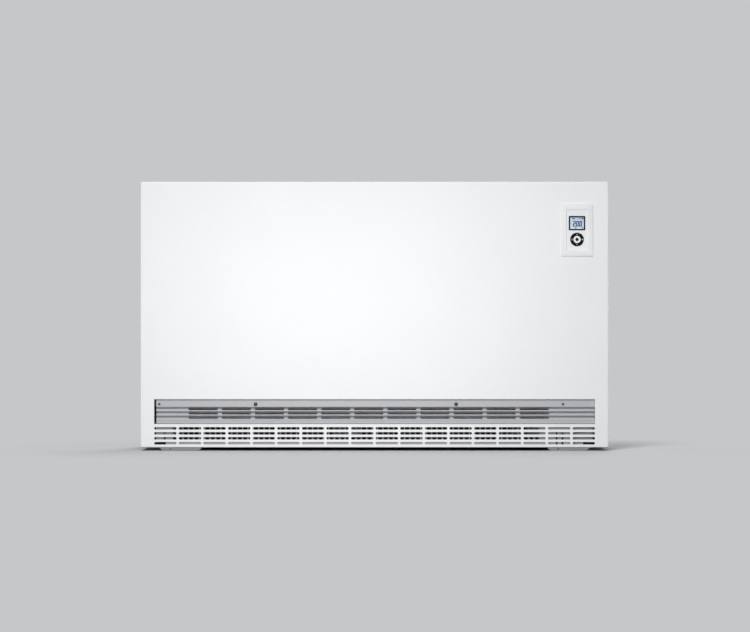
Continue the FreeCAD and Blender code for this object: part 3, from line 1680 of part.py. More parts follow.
# Check and write
def check_and_write():
    """Stops on any faulty object, then writes each piece under its own name."""
    doc.recompute()
    for item in doc.Objects:
        if {"Invalid", "Error"} & set(item.State):
            raise ValueError(f"{item.Label} failed: {item.getStatusString()}")
    for item in pieces:
        if item.Shape.isNull() or not item.Shape.isValid():
            raise ValueError(f"{item.Label} has no valid shape")
    os.makedirs("parts", exist_ok=True)
    for item in pieces:
        item.Shape.exportStep(f"parts/{item.Label}.step")
    print(len(pieces), "pieces")


make_casing()
make_grille()
make_grille_screws()
make_filter()
make_shelf()
make_plates()
make_insulation()
make_core()
make_elements()
make_air_path()
make_terminal_block()
make_power_board()
make_cutout()
make_cable_bush()
make_bezel()
make_display()
make_keys()
make_control_rear()
check_and_write()
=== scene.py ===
"""Looks of a fan-assisted storage heater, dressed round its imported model, in metres."""

import json
import logging
import math
from dataclasses import dataclass, field
from enum import Enum

import bpy
from mathutils import Matrix, Vector

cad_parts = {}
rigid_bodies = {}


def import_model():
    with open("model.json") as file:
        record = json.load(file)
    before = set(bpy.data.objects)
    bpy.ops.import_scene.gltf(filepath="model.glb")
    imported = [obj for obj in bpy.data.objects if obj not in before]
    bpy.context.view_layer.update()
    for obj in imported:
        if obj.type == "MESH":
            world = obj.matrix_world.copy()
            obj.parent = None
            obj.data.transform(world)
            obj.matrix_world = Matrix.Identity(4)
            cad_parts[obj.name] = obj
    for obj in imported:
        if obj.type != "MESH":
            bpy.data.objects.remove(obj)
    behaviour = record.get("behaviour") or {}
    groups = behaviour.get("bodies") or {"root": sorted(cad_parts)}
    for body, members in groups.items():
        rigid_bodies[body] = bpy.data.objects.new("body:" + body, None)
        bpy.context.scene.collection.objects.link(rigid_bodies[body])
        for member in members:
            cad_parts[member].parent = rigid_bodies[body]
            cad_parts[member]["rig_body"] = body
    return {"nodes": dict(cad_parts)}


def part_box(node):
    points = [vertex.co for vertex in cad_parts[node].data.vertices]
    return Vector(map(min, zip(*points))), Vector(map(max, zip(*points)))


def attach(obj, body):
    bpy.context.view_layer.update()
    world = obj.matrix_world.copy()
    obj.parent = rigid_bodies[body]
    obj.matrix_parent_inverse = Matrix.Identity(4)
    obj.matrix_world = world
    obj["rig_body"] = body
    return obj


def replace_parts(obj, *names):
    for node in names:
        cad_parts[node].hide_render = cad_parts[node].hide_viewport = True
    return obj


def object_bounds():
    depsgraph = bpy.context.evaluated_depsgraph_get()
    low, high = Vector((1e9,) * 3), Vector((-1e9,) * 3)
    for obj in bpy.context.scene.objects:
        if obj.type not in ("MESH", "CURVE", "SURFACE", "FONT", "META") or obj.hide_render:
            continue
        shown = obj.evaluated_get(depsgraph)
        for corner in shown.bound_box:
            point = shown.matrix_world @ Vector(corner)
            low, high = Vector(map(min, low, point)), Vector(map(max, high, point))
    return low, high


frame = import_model()
CAD_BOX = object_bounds()

MM = 0.001
CASING_BODY = "casing"
log = logging.getLogger("storage_heater")

SocketValue = float | tuple | bpy.types.NodeSocket


def linear(code: str) -> tuple[float, float, float, float]:
    """Turns an sRGB hex colour into linear light.

    Args:
        code: A colour such as "#F2F3F4".

    Returns:
        Red, green, blue and a full alpha.
    """
    shares = [int(code[start : start + 2], 16) / 255 for start in (1, 3, 5)]
    # The sRGB curve: a straight toe, then a power
    light = [s / 12.92 if s <= 0.04045 else ((s + 0.055) / 1.055) ** 2.4 for s in shares]
    return (*light, 1.0)


def add_node(
    tree: bpy.types.NodeTree,
    kind: str,
    sockets: dict[str | int, SocketValue] | None = None,
    **settings: object,
) -> bpy.types.Node:
    """Adds one shader node with its settings, values and links.

    Args:
        tree: The node tree that takes the node.
        kind: Blender's name for the node.
        sockets: A value or a linked output for each input that isn't left alone.
        **settings: Properties of the node itself.

    Returns:
        The new node.
    """
    node = tree.nodes.new(kind)
    for name, value in settings.items():
        setattr(node, name, value)
    for socket, value in (sockets or {}).items():
        if isinstance(value, bpy.types.NodeSocket):
            tree.links.new(value, node.inputs[socket])
        else:
            node.inputs[socket].default_value = value
    return node


# Sockets of a Mix node that is set to colours
MIX_SHARE, MIX_FIRST, MIX_SECOND, MIX_RESULT = 0, 6, 7, 2
# A wave texture of scale 1 draws this many bands to a unit of length
BANDS_PER_UNIT = 20 / math.tau
BAND_WAVINESS = 0.4
# Drawn lines run along X, so their pattern is stretched that way
DRAWN_STRETCH = (0.03, 1.0, 1.0)
GRAIN_DETAIL = 6.0
SOFT_DETAIL = 2.0
NOISE_ROUGHNESS = 0.6
# Noise rarely leaves this range, which the broad patches spread over
CLOUD_LOW, CLOUD_HIGH = 0.3, 0.7
COAT_ROUGHNESS = 0.08


class Pattern(Enum):
    """The fine structure of a surface."""

    PEEL = "ripples of a sprayed or moulded skin"
    SPANGLE = "crystals of a zinc bath"
    GRAIN = "grains of a pressed or fired body"
    DRAWN = "lines along drawn, rolled or turned metal"
    SHEETS = "edges of stacked sheets"


@dataclass(frozen=True)
class Finish:
    """A real material and the way its surface was made.

    Attributes:
        name: The material's common name and process.
        base: Main colour.
        tint: Second colour, which the pattern mixes in.
        pattern: The fine structure.
        size_mm: Size of one ripple, crystal, grain or sheet.
        roughness: Roughness at the bottom and the top of the pattern.
        bump_mm: Height of the pattern.
        metallic: 1 for bare metal.
        coat: Weight of a clear gloss layer.
        cloud: How far broad soft patches darken the colour.
        glow: Strength of light that the surface gives by itself.
        shine: Share of mirror light, 0.5 for common plastics and paints.
        cloud_mm: Size of the broad patches.
    """

    name: str
    base: str
    tint: str
    pattern: Pattern
    size_mm: float
    roughness: tuple[float, float]
    bump_mm: float = 0.01
    metallic: float = 0.0
    coat: float = 0.0
    cloud: float = 0.03
    glow: float = 0.0
    shine: float = 0.5
    cloud_mm: float = 160.0

    def grain(self, tree: bpy.types.NodeTree, place: bpy.types.NodeSocket) -> bpy.types.NodeSocket:
        """Adds the pattern's texture.

        Args:
            tree: The material's node tree.
            place: Object coordinates.

        Returns:
            The pattern's height, from 0 to 1.
        """
        per_metre = 1 / (self.size_mm * MM)
        if self.pattern is Pattern.SPANGLE:
            cells = add_node(tree, "ShaderNodeTexVoronoi", {"Vector": place, "Scale": per_metre})
            split = add_node(tree, "ShaderNodeSeparateColor", {"Color": cells.outputs["Color"]})
            return split.outputs["Red"]
        if self.pattern is Pattern.SHEETS:
            bands = {"Vector": place, "Scale": per_metre / BANDS_PER_UNIT, "Distortion": BAND_WAVINESS}
            return add_node(tree, "ShaderNodeTexWave", bands).outputs["Fac"]
        if self.pattern is Pattern.DRAWN:
            stretch = {"Vector": place, "Scale": DRAWN_STRETCH}
            place = add_node(tree, "ShaderNodeMapping", stretch).outputs["Vector"]
        detail = GRAIN_DETAIL if self.pattern is Pattern.GRAIN else SOFT_DETAIL
        noise = {"Vector": place, "Scale": per_metre, "Detail": detail, "Roughness": NOISE_ROUGHNESS}
        return add_node(tree, "ShaderNodeTexNoise", noise).outputs["Fac"]

    def tone(
        self, tree: bpy.types.NodeTree, place: bpy.types.NodeSocket, grain: bpy.types.NodeSocket
    ) -> bpy.types.NodeSocket:
        """Adds the colour before the broad patches.

        Args:
            tree: The material's node tree.
            place: Object coordinates, for finishes whose colour follows them.
            grain: The pattern's height.

        Returns:
            The colour.
        """
        sockets = {MIX_SHARE: grain, MIX_FIRST: linear(self.base), MIX_SECOND: linear(self.tint)}
        return add_node(tree, "ShaderNodeMix", sockets, data_type="RGBA").outputs[MIX_RESULT]

    def material(self) -> bpy.types.Material:
        """Makes the material, or finds it where another piece has it already.

        Returns:
            The material.
        """
        made = bpy.data.materials.get(self.name)
        if made:
            return made
        made = bpy.data.materials.new(self.name)
        made.use_nodes = True
        tree = made.node_tree
        tree.nodes.clear()
        place = add_node(tree, "ShaderNodeTexCoord").outputs["Object"]
        grain = self.grain(tree, place)
        broad = {"Vector": place, "Scale": 1 / (self.cloud_mm * MM), "Detail": SOFT_DETAIL}
        cloud = add_node(tree, "ShaderNodeTexNoise", broad).outputs["Fac"]
        fade = {"Value": cloud, "From Min": CLOUD_LOW, "From Max": CLOUD_HIGH, "To Min": 1 - self.cloud}
        shade = add_node(tree, "ShaderNodeMapRange", fade).outputs["Result"]
        layers = {MIX_SHARE: 1.0, MIX_FIRST: self.tone(tree, place, grain), MIX_SECOND: shade}
        colour = add_node(
            tree, "ShaderNodeMix", layers, data_type="RGBA", blend_type="MULTIPLY"
        ).outputs[MIX_RESULT]
        low, high = self.roughness
        spread = {"Value": grain, "To Min": low, "To Max": high}
        rough = add_node(tree, "ShaderNodeMapRange", spread).outputs["Result"]
        relief = {"Height": grain, "Distance": self.bump_mm * MM}
        skin = add_node(tree, "ShaderNodeBump", relief).outputs["Normal"]
        surface = {"Base Color": colour, "Roughness": rough, "Normal": skin}
        surface |= {"Metallic": self.metallic, "Specular IOR Level": self.shine}
        surface |= {"Coat Weight": self.coat, "Coat Roughness": COAT_ROUGHNESS}
        surface |= {"Emission Color": linear(self.base), "Emission Strength": self.glow}
        shader = add_node(tree, "ShaderNodeBsdfPrincipled", surface).outputs["BSDF"]
        add_node(tree, "ShaderNodeOutputMaterial", {"Surface": shader})
        return made


@dataclass(frozen=True)
class GradedFinish(Finish):
    """A finish whose colour changes from a lower to an upper level of one axis.

    Attributes:
        axis: "X", "Y" or "Z".
        low: Where the tint is full, in metres.
        high: Where the base is full, in metres.
    """

    axis: str = "Z"
    low: float = 0.0
    high: float = 1.0

    def tone(
        self, tree: bpy.types.NodeTree, place: bpy.types.NodeSocket, grain: bpy.types.NodeSocket
    ) -> bpy.types.NodeSocket:
        """Adds the graded colour.

        Args:
            tree: The material's node tree.
            place: Object coordinates.
            grain: The pattern's height, which this colour doesn't need.

        Returns:
            The colour.
        """
        split = add_node(tree, "ShaderNodeSeparateXYZ", {"Vector": place})
        span = {"Value": split.outputs[self.axis], "From Min": self.low, "From Max": self.high}
        share = add_node(tree, "ShaderNodeMapRange", span).outputs["Result"]
        sockets = {MIX_SHARE: share, MIX_FIRST: linear(self.tint), MIX_SECOND: linear(self.base)}
        return add_node(tree, "ShaderNodeMix", sockets, data_type="RGBA").outputs[MIX_RESULT]


# Baked powder coat: an even white with a faint orange peel, drawn coarser than the real 1.5 mm to show
POWDER_WHITE = Finish(
    "white_powder_coat_on_steel", base="#F5F6F7", tint="#F0F1F2", pattern=Pattern.PEEL,
    size_mm=5.0, roughness=(0.34, 0.42), bump_mm=0.01, cloud=0.015,
)
# Zinc bath: grey crystals that each catch the light a little differently
GALVANISED = Finish(
    "hot_dip_galvanised_steel", base="#B4B9BC", tint="#989EA2", pattern=Pattern.SPANGLE,
    size_mm=9.0, roughness=(0.36, 0.52), bump_mm=0.004, metallic=1.0,
)
# Sprayed grey lacquer: satin, with a fine sparkle that softens the pressed edges
LOUVRE_GREY = Finish(
    "silver_grey_lacquer_on_pressed_steel", base="#BFC0C4", tint="#B7B8BC", pattern=Pattern.PEEL,
    size_mm=3.0, roughness=(0.38, 0.48), bump_mm=0.002,
)
# Thin white lacquer on a pressed foot: flatter and duller than the casing
FOOT_WHITE = Finish(
    "white_lacquer_on_pressed_steel", base="#F5F6F7", tint="#EFF0F1", pattern=Pattern.PEEL,
    size_mm=4.0, roughness=(0.46, 0.56), bump_mm=0.008, cloud=0.02,
)
# Phosphated screw steel: dark grey, slightly oily
BLACK_STEEL = Finish(
    "phosphated_screw_steel", base="#4B4D52", tint="#3E4045", pattern=Pattern.GRAIN,
    size_mm=0.8, roughness=(0.38, 0.55), bump_mm=0.006, metallic=0.7,
)
# Zinc-plated screws and turned shafts: bright, with turning lines
BRIGHT_STEEL = Finish(
    "zinc_plated_turned_steel", base="#C4C6C8", tint="#AEB1B4", pattern=Pattern.DRAWN,
    size_mm=0.6, roughness=(0.22, 0.36), bump_mm=0.003, metallic=1.0,
)
# Stove lacquer: dull black, partly painted shade: the black keeps the base tray, core shelf and fan
# housings as dark as shadow behind the outlet and slots
BLACK_LACQUER_AS_SHADE = Finish(
    "black_lacquer_as_painted_shade", base="#1A1A1B", tint="#232425", pattern=Pattern.PEEL,
    size_mm=2.0, roughness=(0.6, 0.75), bump_mm=0.006,
)
# Moulded ABS: white with the fine matt texture of a spark-eroded mould
WHITE_ABS = Finish(
    "moulded_white_abs", base="#F1F2F3", tint="#EDEEEF", pattern=Pattern.PEEL,
    size_mm=1.2, roughness=(0.4, 0.5), bump_mm=0.006, cloud=0.01, cloud_mm=40.0,
)
# Polished polycarbonate: deep black with sharp reflections and faint finger marks
BLACK_GLOSS = Finish(
    "polished_black_polycarbonate", base="#08090A", tint="#0D0E10", pattern=Pattern.PEEL,
    size_mm=9.0, roughness=(0.1, 0.22), bump_mm=0.002, shine=0.15,
)
# Polished ABS: bright white key with a wet-looking rim
WHITE_GLOSS = Finish(
    "polished_white_abs", base="#F6F7F8", tint="#F1F2F3", pattern=Pattern.PEEL,
    size_mm=6.0, roughness=(0.16, 0.26), bump_mm=0.002, coat=0.3,
)
# Smoked lens: nearly black, with one clear highlight on its dome
SMOKED_LENS = Finish(
    "smoked_acrylic_lens", base="#15171A", tint="#1D2024", pattern=Pattern.PEEL,
    size_mm=4.0, roughness=(0.06, 0.12), bump_mm=0.001, shine=0.25,
)
# Pad-printed ink: flat white with a slightly broken edge of pigment
WHITE_INK = Finish(
    "pad_printed_white_ink", base="#E4E6E8", tint="#D2D5D8", pattern=Pattern.GRAIN,
    size_mm=0.4, roughness=(0.5, 0.6), bump_mm=0.002, cloud=0.02,
)
# The same ink, printed thinner
GREY_INK = Finish(
    "pad_printed_grey_ink", base="#A9ACB0", tint="#989BA0", pattern=Pattern.GRAIN,
    size_mm=0.4, roughness=(0.5, 0.6), bump_mm=0.002, cloud=0.02,
)
# Dark liquid-crystal segments: slate blue, a little uneven
CRYSTAL_DARK = Finish(
    "switched_liquid_crystal", base="#143F5C", tint="#1C4B6A", pattern=Pattern.GRAIN,
    size_mm=0.6, roughness=(0.3, 0.4), bump_mm=0.001, cloud=0.05, shine=0.3,
)
# Microporous board: pale, dusty and fibrous
BOARD_WOOL = Finish(
    "pressed_microporous_board", base="#CFCBC0", tint="#B9B4A6", pattern=Pattern.GRAIN,
    size_mm=2.5, roughness=(0.85, 0.95), bump_mm=0.12, cloud=0.08,
)
# Iron-oxide brick: dark brown-grey with coarse grains
FIRED_BRICK = Finish(
    "fired_iron_oxide_brick", base="#4A3E39", tint="#2F2927", pattern=Pattern.GRAIN,
    size_mm=3.0, roughness=(0.78, 0.92), bump_mm=0.15, cloud=0.15,
)
# Nickel-alloy sheath after firing: dark with brown and blue heat tints
HEATED_SHEATH = Finish(
    "oxidised_nickel_alloy_sheath", base="#5A524C", tint="#3F4148", pattern=Pattern.DRAWN,
    size_mm=4.0, roughness=(0.4, 0.55), bump_mm=0.006, metallic=0.8, cloud=0.2,
)
# Steatite: cream, dense and slightly waxy
STEATITE = Finish(
    "pressed_steatite", base="#E6DFCD", tint="#D9D0BB", pattern=Pattern.GRAIN,
    size_mm=1.2, roughness=(0.45, 0.6), bump_mm=0.02, cloud=0.04,
)
# Black-anodised blades: dark with a soft sheen along the rolling lines; the black is partly painted
# shade, so that the rotors look as dark as shadow behind the outlet
BLACK_ALUMINIUM_AS_SHADE = Finish(
    "black_anodised_aluminium_as_painted_shade", base="#2A2B2D", tint="#202123", pattern=Pattern.DRAWN,
    size_mm=0.9, roughness=(0.45, 0.6), bump_mm=0.003, metallic=0.3,
)
# Warm-air side sheet: zinc gone dull and pale from heat
HEATED_SHEET = Finish(
    "heat_dulled_galvanised_steel", base="#C3C4C8", tint="#AEAFB4", pattern=Pattern.SPANGLE,
    size_mm=9.0, roughness=(0.55, 0.7), bump_mm=0.004, metallic=0.15,
)
# Stator stack: thin sheet edges side by side, drawn at 1.5 mm to show
STACKED_IRON = Finish(
    "stacked_stator_sheets", base="#7C7F84", tint="#54565B", pattern=Pattern.SHEETS,
    size_mm=1.5, roughness=(0.42, 0.6), bump_mm=0.03, metallic=0.8,
)
# Sintered bronze: warm and finely porous
SINTERED_BRONZE = Finish(
    "oil_filled_sintered_bronze", base="#A47C48", tint="#8B6738", pattern=Pattern.GRAIN,
    size_mm=0.7, roughness=(0.36, 0.5), bump_mm=0.008, metallic=1.0,
)
# Bimetal: copper-coloured face rolled on steel
BIMETAL = Finish(
    "rolled_bimetal_strip", base="#B08A6C", tint="#9A9C9E", pattern=Pattern.DRAWN,
    size_mm=2.0, roughness=(0.3, 0.42), bump_mm=0.003, metallic=1.0,
)
# Glass-filled polyamide: warm white and slightly mottled
WARM_POLYAMIDE = Finish(
    "moulded_glass_filled_polyamide", base="#D8D3C4", tint="#CBC5B4", pattern=Pattern.GRAIN,
    size_mm=1.0, roughness=(0.48, 0.6), bump_mm=0.01,
)
# Phenolic moulding: dark brown-black with a dull shine
PHENOLIC = Finish(
    "moulded_phenolic", base="#2B2522", tint="#211C1A", pattern=Pattern.GRAIN,
    size_mm=0.8, roughness=(0.34, 0.46), bump_mm=0.006,
)
# Red push button: glossy polyamide
RED_POLYAMIDE = Finish(
    "moulded_red_polyamide", base="#B3201A", tint="#A21913", pattern=Pattern.PEEL,
    size_mm=2.0, roughness=(0.24, 0.34), bump_mm=0.004,
)
# Rubber bush: black, matt and a little dusty
RUBBER = Finish(
    "moulded_black_rubber", base="#1B1B1C", tint="#252526", pattern=Pattern.GRAIN,
    size_mm=0.9, roughness=(0.7, 0.85), bump_mm=0.02,
)
# Grey ABS rear cover: matt, with the same moulded texture as the bezel
GREY_ABS = Finish(
    "moulded_grey_abs", base="#8F9296", tint="#86898D", pattern=Pattern.PEEL,
    size_mm=1.2, roughness=(0.48, 0.58), bump_mm=0.006,
)
# Solder-masked glass epoxy: green film over the woven glass
GREEN_EPOXY = Finish(
    "solder_masked_glass_epoxy", base="#1F6B3A", tint="#195A30", pattern=Pattern.SHEETS,
    size_mm=1.2, roughness=(0.28, 0.4), bump_mm=0.006, coat=0.2,
)


# Where the relays begin, from the feet of the board's spacers, and how soon the colour has changed
POWER_BOARD_FACE_MM = 9.7
POWER_BOARD_STEP_MM = 0.3
# Height of the plain strip under the filter's holes, and of the fade into the painted shade above it
FILTER_STRIP_MM = 13.0
FILTER_SHADE_FADE_MM = 3.0


def lit_display() -> Finish:
    """A lit display: pale blue, fading to a greyer blue towards its upper edge.

    Returns:
        The finish, graded over the panel's own height.
    """
    low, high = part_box("lcd_panel")
    return GradedFinish(
        "backlit_liquid_crystal_panel", base="#B8C7DF", tint="#DCEBF8", pattern=Pattern.PEEL,
        size_mm=3.0, roughness=(0.16, 0.24), bump_mm=0.001, cloud=0.02, glow=0.06,
        axis="Z", low=low.z, high=high.z,
    )


def filter_with_painted_shade() -> Finish:
    """Rolled aluminised sheet: dull grey, with painted shade above the plain strip under its holes.

    Returns:
        The finish, which changes just above the plain strip.
    """
    strip_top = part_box("inlet_filter")[0].z + FILTER_STRIP_MM * MM
    return GradedFinish(
        # The darker base above the strip is painted shade for the slots that look in there
        "punched_aluminised_sheet_with_painted_shade", base="#9FA1A4", tint="#BFC1C4", pattern=Pattern.DRAWN,
        size_mm=1.5, roughness=(0.42, 0.56), bump_mm=0.003,
        axis="Z", low=strip_top, high=strip_top + FILTER_SHADE_FADE_MM * MM,
    )


def relay_board() -> Finish:
    """A power board: green epoxy with dark relay cases on its outer face.

    Returns:
        The finish, which changes where the relays stand off the board.
    """
    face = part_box("power_board")[0].x + POWER_BOARD_FACE_MM * MM
    return GradedFinish(
        "epoxy_board_with_relay_cases", base="#24272C", tint="#1F6B3A", pattern=Pattern.GRAIN,
        size_mm=1.2, roughness=(0.3, 0.45), bump_mm=0.006,
        axis="X", low=face, high=face + POWER_BOARD_STEP_MM * MM,
    )


# Modelling by hand

# The number of corners that makes a flat mark a rectangle
RECTANGLE = 4
# About X: stands a flat face up to look to the front, and turns a camera to look along Y
QUARTER_TURN = (math.radians(90), 0, 0)
# Two places nearer than this are the same
SAME_PLACE_MM = 0.0001
# For rounded edges: how near corners are welded, which faces are one, and which edges are sharp
WELD_MM = 0.002
FLAT_ANGLE = math.radians(0.5)
CREASE_ANGLE = math.radians(35)
ROUNDING_SEGMENTS = 2


def to_mode(mode: str) -> None:
    """Switches the active object to a mode."""
    bpy.ops.object.mode_set(mode=mode)


def clear_selection() -> None:
    """Deselects every object."""
    bpy.ops.object.select_all(action="DESELECT")


def take_up(piece: bpy.types.Object) -> None:
    """Makes a piece the only selected and the active object.

    Args:
        piece: The piece.
    """
    clear_selection()
    piece.select_set(True)
    bpy.context.view_layer.objects.active = piece


def pick_edge(piece: bpy.types.Object, middle: Vector) -> None:
    """Selects the edge whose middle lies at a place and goes to edit mode.

    Args:
        piece: The active object.
        middle: The edge's middle.
    """
    to_mode("EDIT")
    bpy.ops.mesh.select_mode(type="EDGE")
    bpy.ops.mesh.select_all(action="DESELECT")
    to_mode("OBJECT")
    corners = piece.data.vertices
    for edge in piece.data.edges:
        start, end = (corners[index].co for index in edge.vertices)
        edge.select = ((start + end) / 2 - middle).length < SAME_PLACE_MM * MM
    to_mode("EDIT")


def settle(piece: bpy.types.Object, name: str) -> bpy.types.Object:
    """Leaves edit mode, moves the piece's place into its mesh and names it.

    Args:
        piece: The active object.
        name: Its name.

    Returns:
        The same piece.
    """
    to_mode("OBJECT")
    bpy.ops.object.transform_apply(location=True, rotation=True, scale=True)
    piece.name = name
    piece.data.name = name
    return piece


def facing_front(corners: int, width: float, height: float) -> bpy.types.Object:
    """Starts a flat mark at the origin: a regular face that looks to the front.

    Args:
        corners: Number of corners.
        width: Size along X.
        height: Size along Z.

    Returns:
        The active object, in edit mode with all of it selected.
    """
    clear_selection()
    if corners == RECTANGLE:
        bpy.ops.mesh.primitive_plane_add(size=1, rotation=QUARTER_TURN)
    else:
        bpy.ops.mesh.primitive_circle_add(
            vertices=corners, radius=0.5, fill_type="NGON", rotation=QUARTER_TURN
        )
    piece = bpy.context.active_object
    bpy.ops.object.transform_apply(rotation=True)
    to_mode("EDIT")
    bpy.ops.mesh.select_all(action="SELECT")
    bpy.ops.transform.resize(value=(width, 1, height), center_override=(0, 0, 0))
    return piece


def draw_out(piece: bpy.types.Object, middle: Vector, way: Vector, steps: tuple[float, ...]) -> None:
    """Extrudes one side of a square step by step.

    Args:
        piece: The flat mark that holds the square.
        middle: The square's middle.
        way: Where to, at any length.
        steps: The square's own size, then each new length.
    """
    along = way.normalized()
    pick_edge(piece, middle + along * steps[0] / 2)
    for step in steps[1:]:
        bpy.ops.mesh.extrude_region_move(TRANSFORM_OT_translate={"value": along * step})


def hollow(rim: float) -> None:
    """Takes the middle out of the flat mark in edit mode and leaves a rim."""
    bpy.ops.mesh.inset(thickness=rim)
    bpy.ops.mesh.delete(type="ONLY_FACE")


def thicken(thickness: float) -> None:
    """Gives the flat mark in edit mode a body towards the front.

    Args:
        thickness: The body's depth, in metres.
    """
    bpy.ops.mesh.select_all(action="SELECT")
    bpy.ops.mesh.extrude_region_move(TRANSFORM_OT_translate={"value": (0, -thickness, 0)})
    bpy.ops.mesh.select_all(action="SELECT")
    bpy.ops.mesh.normals_make_consistent(inside=False)


def copy_of(master: bpy.types.Object, name: str) -> bpy.types.Object:
    """Copies a piece, mesh included.

    Args:
        master: What is copied.
        name: The copy's name.

    Returns:
        The copy.
    """
    copied = bpy.data.objects.new(name, master.data.copy())
    bpy.context.scene.collection.objects.link(copied)
    return copied


def join(name: str, parts: list[bpy.types.Object]) -> bpy.types.Object:
    """Joins parts to one piece.

    Args:
        name: The piece's name.
        parts: The parts, which are used up.

    Returns:
        The piece.
    """
    take_up(parts[0])
    for part in parts:
        part.select_set(True)
    if len(parts) > 1:
        bpy.ops.object.join()
    return settle(bpy.context.active_object, name)


def round_edges(node: str, radius_mm: float) -> bpy.types.Object:
    """Makes a copy of a CAD node with slightly rounded edges, which stands for it.

    Args:
        node: The CAD node.
        radius_mm: Radius of the rounding.

    Returns:
        The copy, riding on the node's body.
    """
    source = frame["nodes"][node]
    piece = copy_of(source, f"{node}_rounded")
    take_up(piece)
    to_mode("EDIT")
    bpy.ops.mesh.select_all(action="SELECT")
    bpy.ops.mesh.remove_doubles(threshold=WELD_MM * MM)
    bpy.ops.mesh.dissolve_limited(angle_limit=FLAT_ANGLE)
    to_mode("OBJECT")
    bpy.ops.object.shade_smooth_by_angle(angle=CREASE_ANGLE)
    bevel = piece.modifiers.new("rounding", "BEVEL")
    bevel.width = radius_mm * MM
    bevel.segments = ROUNDING_SEGMENTS
    bevel.angle_limit = CREASE_ANGLE
    bevel.harden_normals = True
    bpy.ops.object.modifier_apply(modifier=bevel.name)
    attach(piece, source["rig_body"])
    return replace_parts(piece, node)


def front_middle(node: str) -> Vector:
    """Finds the middle of a CAD node's front.

    Args:
        node: The CAD node.

    Returns:
        The point, in metres.
    """
    low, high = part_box(node)
    return Vector(((low.x + high.x) / 2, low.y, (low.z + high.z) / 2))


# Sub-assemblies
@dataclass
class SubAssembly:
    """Pieces that come apart together on a bench.

    Attributes:
        title: What it is called.
        finishes: The finish of each CAD node.
        roundings_mm: The edge radius of each node that gets rounded edges.
    """

    title: str = "sub-assembly"
    finishes: dict[str, Finish] = field(default_factory=dict)
    roundings_mm: dict[str, float] = field(default_factory=dict)

    def build(self) -> None:
        """Makes the pieces that stand for CAD nodes."""
        for node, radius_mm in self.roundings_mm.items():
            self.paint(round_edges(node, radius_mm), self.finishes[node], node)

    def dress(self) -> None:
        """Gives every CAD node its finish."""
        for node, finish in self.finishes.items():
            self.paint(frame["nodes"][node], finish)

    def paint(self, piece: bpy.types.Object, finish: Finish, slot: str = "") -> None:
        """Gives one piece its finish and reports it.

        Args:
            piece: A CAD node's object or a new piece.
            finish: Its finish.
            slot: The record's slot of a new piece; not used.
        """
        piece.data.materials.clear()
        piece.data.materials.append(finish.material())
        log.info("%s: %s in %s", self.title, piece.name, finish.name)


def alike(finish: Finish, names: str) -> dict[str, Finish]:
    """Gives several nodes one finish.

    Args:
        finish: The finish.
        names: Node names, parted by spaces.

    Returns:
        The finish of each node.
    """
    return dict.fromkeys(names.split(), finish)


@dataclass
class Casing(SubAssembly):
    """Folded sheet casing with its feet, wall brackets, screws and cable bush."""

    title: str = "casing"
    foot_rounding_mm: float = 0.7
    bracket_rounding_mm: float = 0.5
    screw_rounding_mm: float = 0.3

    def __post_init__(self) -> None:
        """Settles the finishes and roundings."""
        self.finishes = {
            **alike(POWDER_WHITE, "front_panel left_side_panel right_side_panel top_cover"),
            **alike(GALVANISED, "back_panel left_wall_bracket right_wall_bracket"),
            # Black base tray: painted shade where it shows through the inlet slots
            "base_tray": BLACK_LACQUER_AS_SHADE,
            **alike(FOOT_WHITE, "left_foot right_foot"),
            "casing_screws": BRIGHT_STEEL,
            "cable_bush": RUBBER,
        }
        self.roundings_mm = {
            **dict.fromkeys(("left_foot", "right_foot"), self.foot_rounding_mm),
            **dict.fromkeys(("left_wall_bracket", "right_wall_bracket"), self.bracket_rounding_mm),
            "casing_screws": self.screw_rounding_mm,
        }


@dataclass
class AirOutlet(SubAssembly):
    """Louvre grille with its screws, and the inlet filter below it."""

    title: str = "air outlet"
    screw_rounding_mm: float = 0.3

    def __post_init__(self) -> None:
        """Settles the finishes and roundings."""
        self.finishes = {
            "outlet_grille": LOUVRE_GREY,
            "grille_screws": BLACK_STEEL,
            # The filter is darker above its plain strip: painted shade
            "inlet_filter": filter_with_painted_shade(),
        }
        self.roundings_mm = {"grille_screws": self.screw_rounding_mm}


@dataclass
class StorageCore(SubAssembly):
    """Brick core with its insulation, heating elements and inner plates."""

    title: str = "storage core"

    def __post_init__(self) -> None:
        """Settles the finishes."""
        nodes = frame["nodes"]
        self.finishes = {
            **{node: FIRED_BRICK for node in nodes if node.startswith("brick_course")},
            **{node: BOARD_WOOL for node in nodes if node.endswith("insulation_board")},
            **{node: HEATED_SHEATH for node in nodes if node.startswith("heating_element")},
            **alike(GALVANISED, "partition_plate inner_front_plate"),
            # Black core shelf: painted shade, so that its rail shows dark in the outlet grille's gaps
            "core_shelf": BLACK_LACQUER_AS_SHADE,
            "element_bushes": STEATITE,
            "core_sensor": BRIGHT_STEEL,
        }


@dataclass
class AirPath(SubAssembly):
    """Fans, divider and mixing flap."""

    title: str = "air path"

    def __post_init__(self) -> None:
        """Settles the finishes."""
        self.finishes = {
            **alike(HEATED_SHEET, "air_divider mixing_flap"),
            # Black fan housings and rotors: partly painted shade, so that the inside behind the outlet
            # looks dark
            **alike(BLACK_LACQUER_AS_SHADE, "left_fan_housing right_fan_housing"),
            **alike(BLACK_ALUMINIUM_AS_SHADE, "left_fan_rotor right_fan_rotor"),
            **alike(BRIGHT_STEEL, "left_fan_shaft right_fan_shaft flap_shaft"),
            **alike(STACKED_IRON, "left_fan_motor right_fan_motor"),
            "fan_bearings": SINTERED_BRONZE,
            "bimetal_strip": BIMETAL,
        }


@dataclass
class WiringSpace(SubAssembly):
    """Terminals, power board and safety cut-out beside the core."""

    title: str = "wiring space"

    def __post_init__(self) -> None:
        """Settles the finishes."""
        self.finishes = {
            "terminal_block": WARM_POLYAMIDE,
            "power_board": relay_board(),
            "safety_cutout": PHENOLIC,
            "cutout_reset_button": RED_POLYAMIDE,
        }


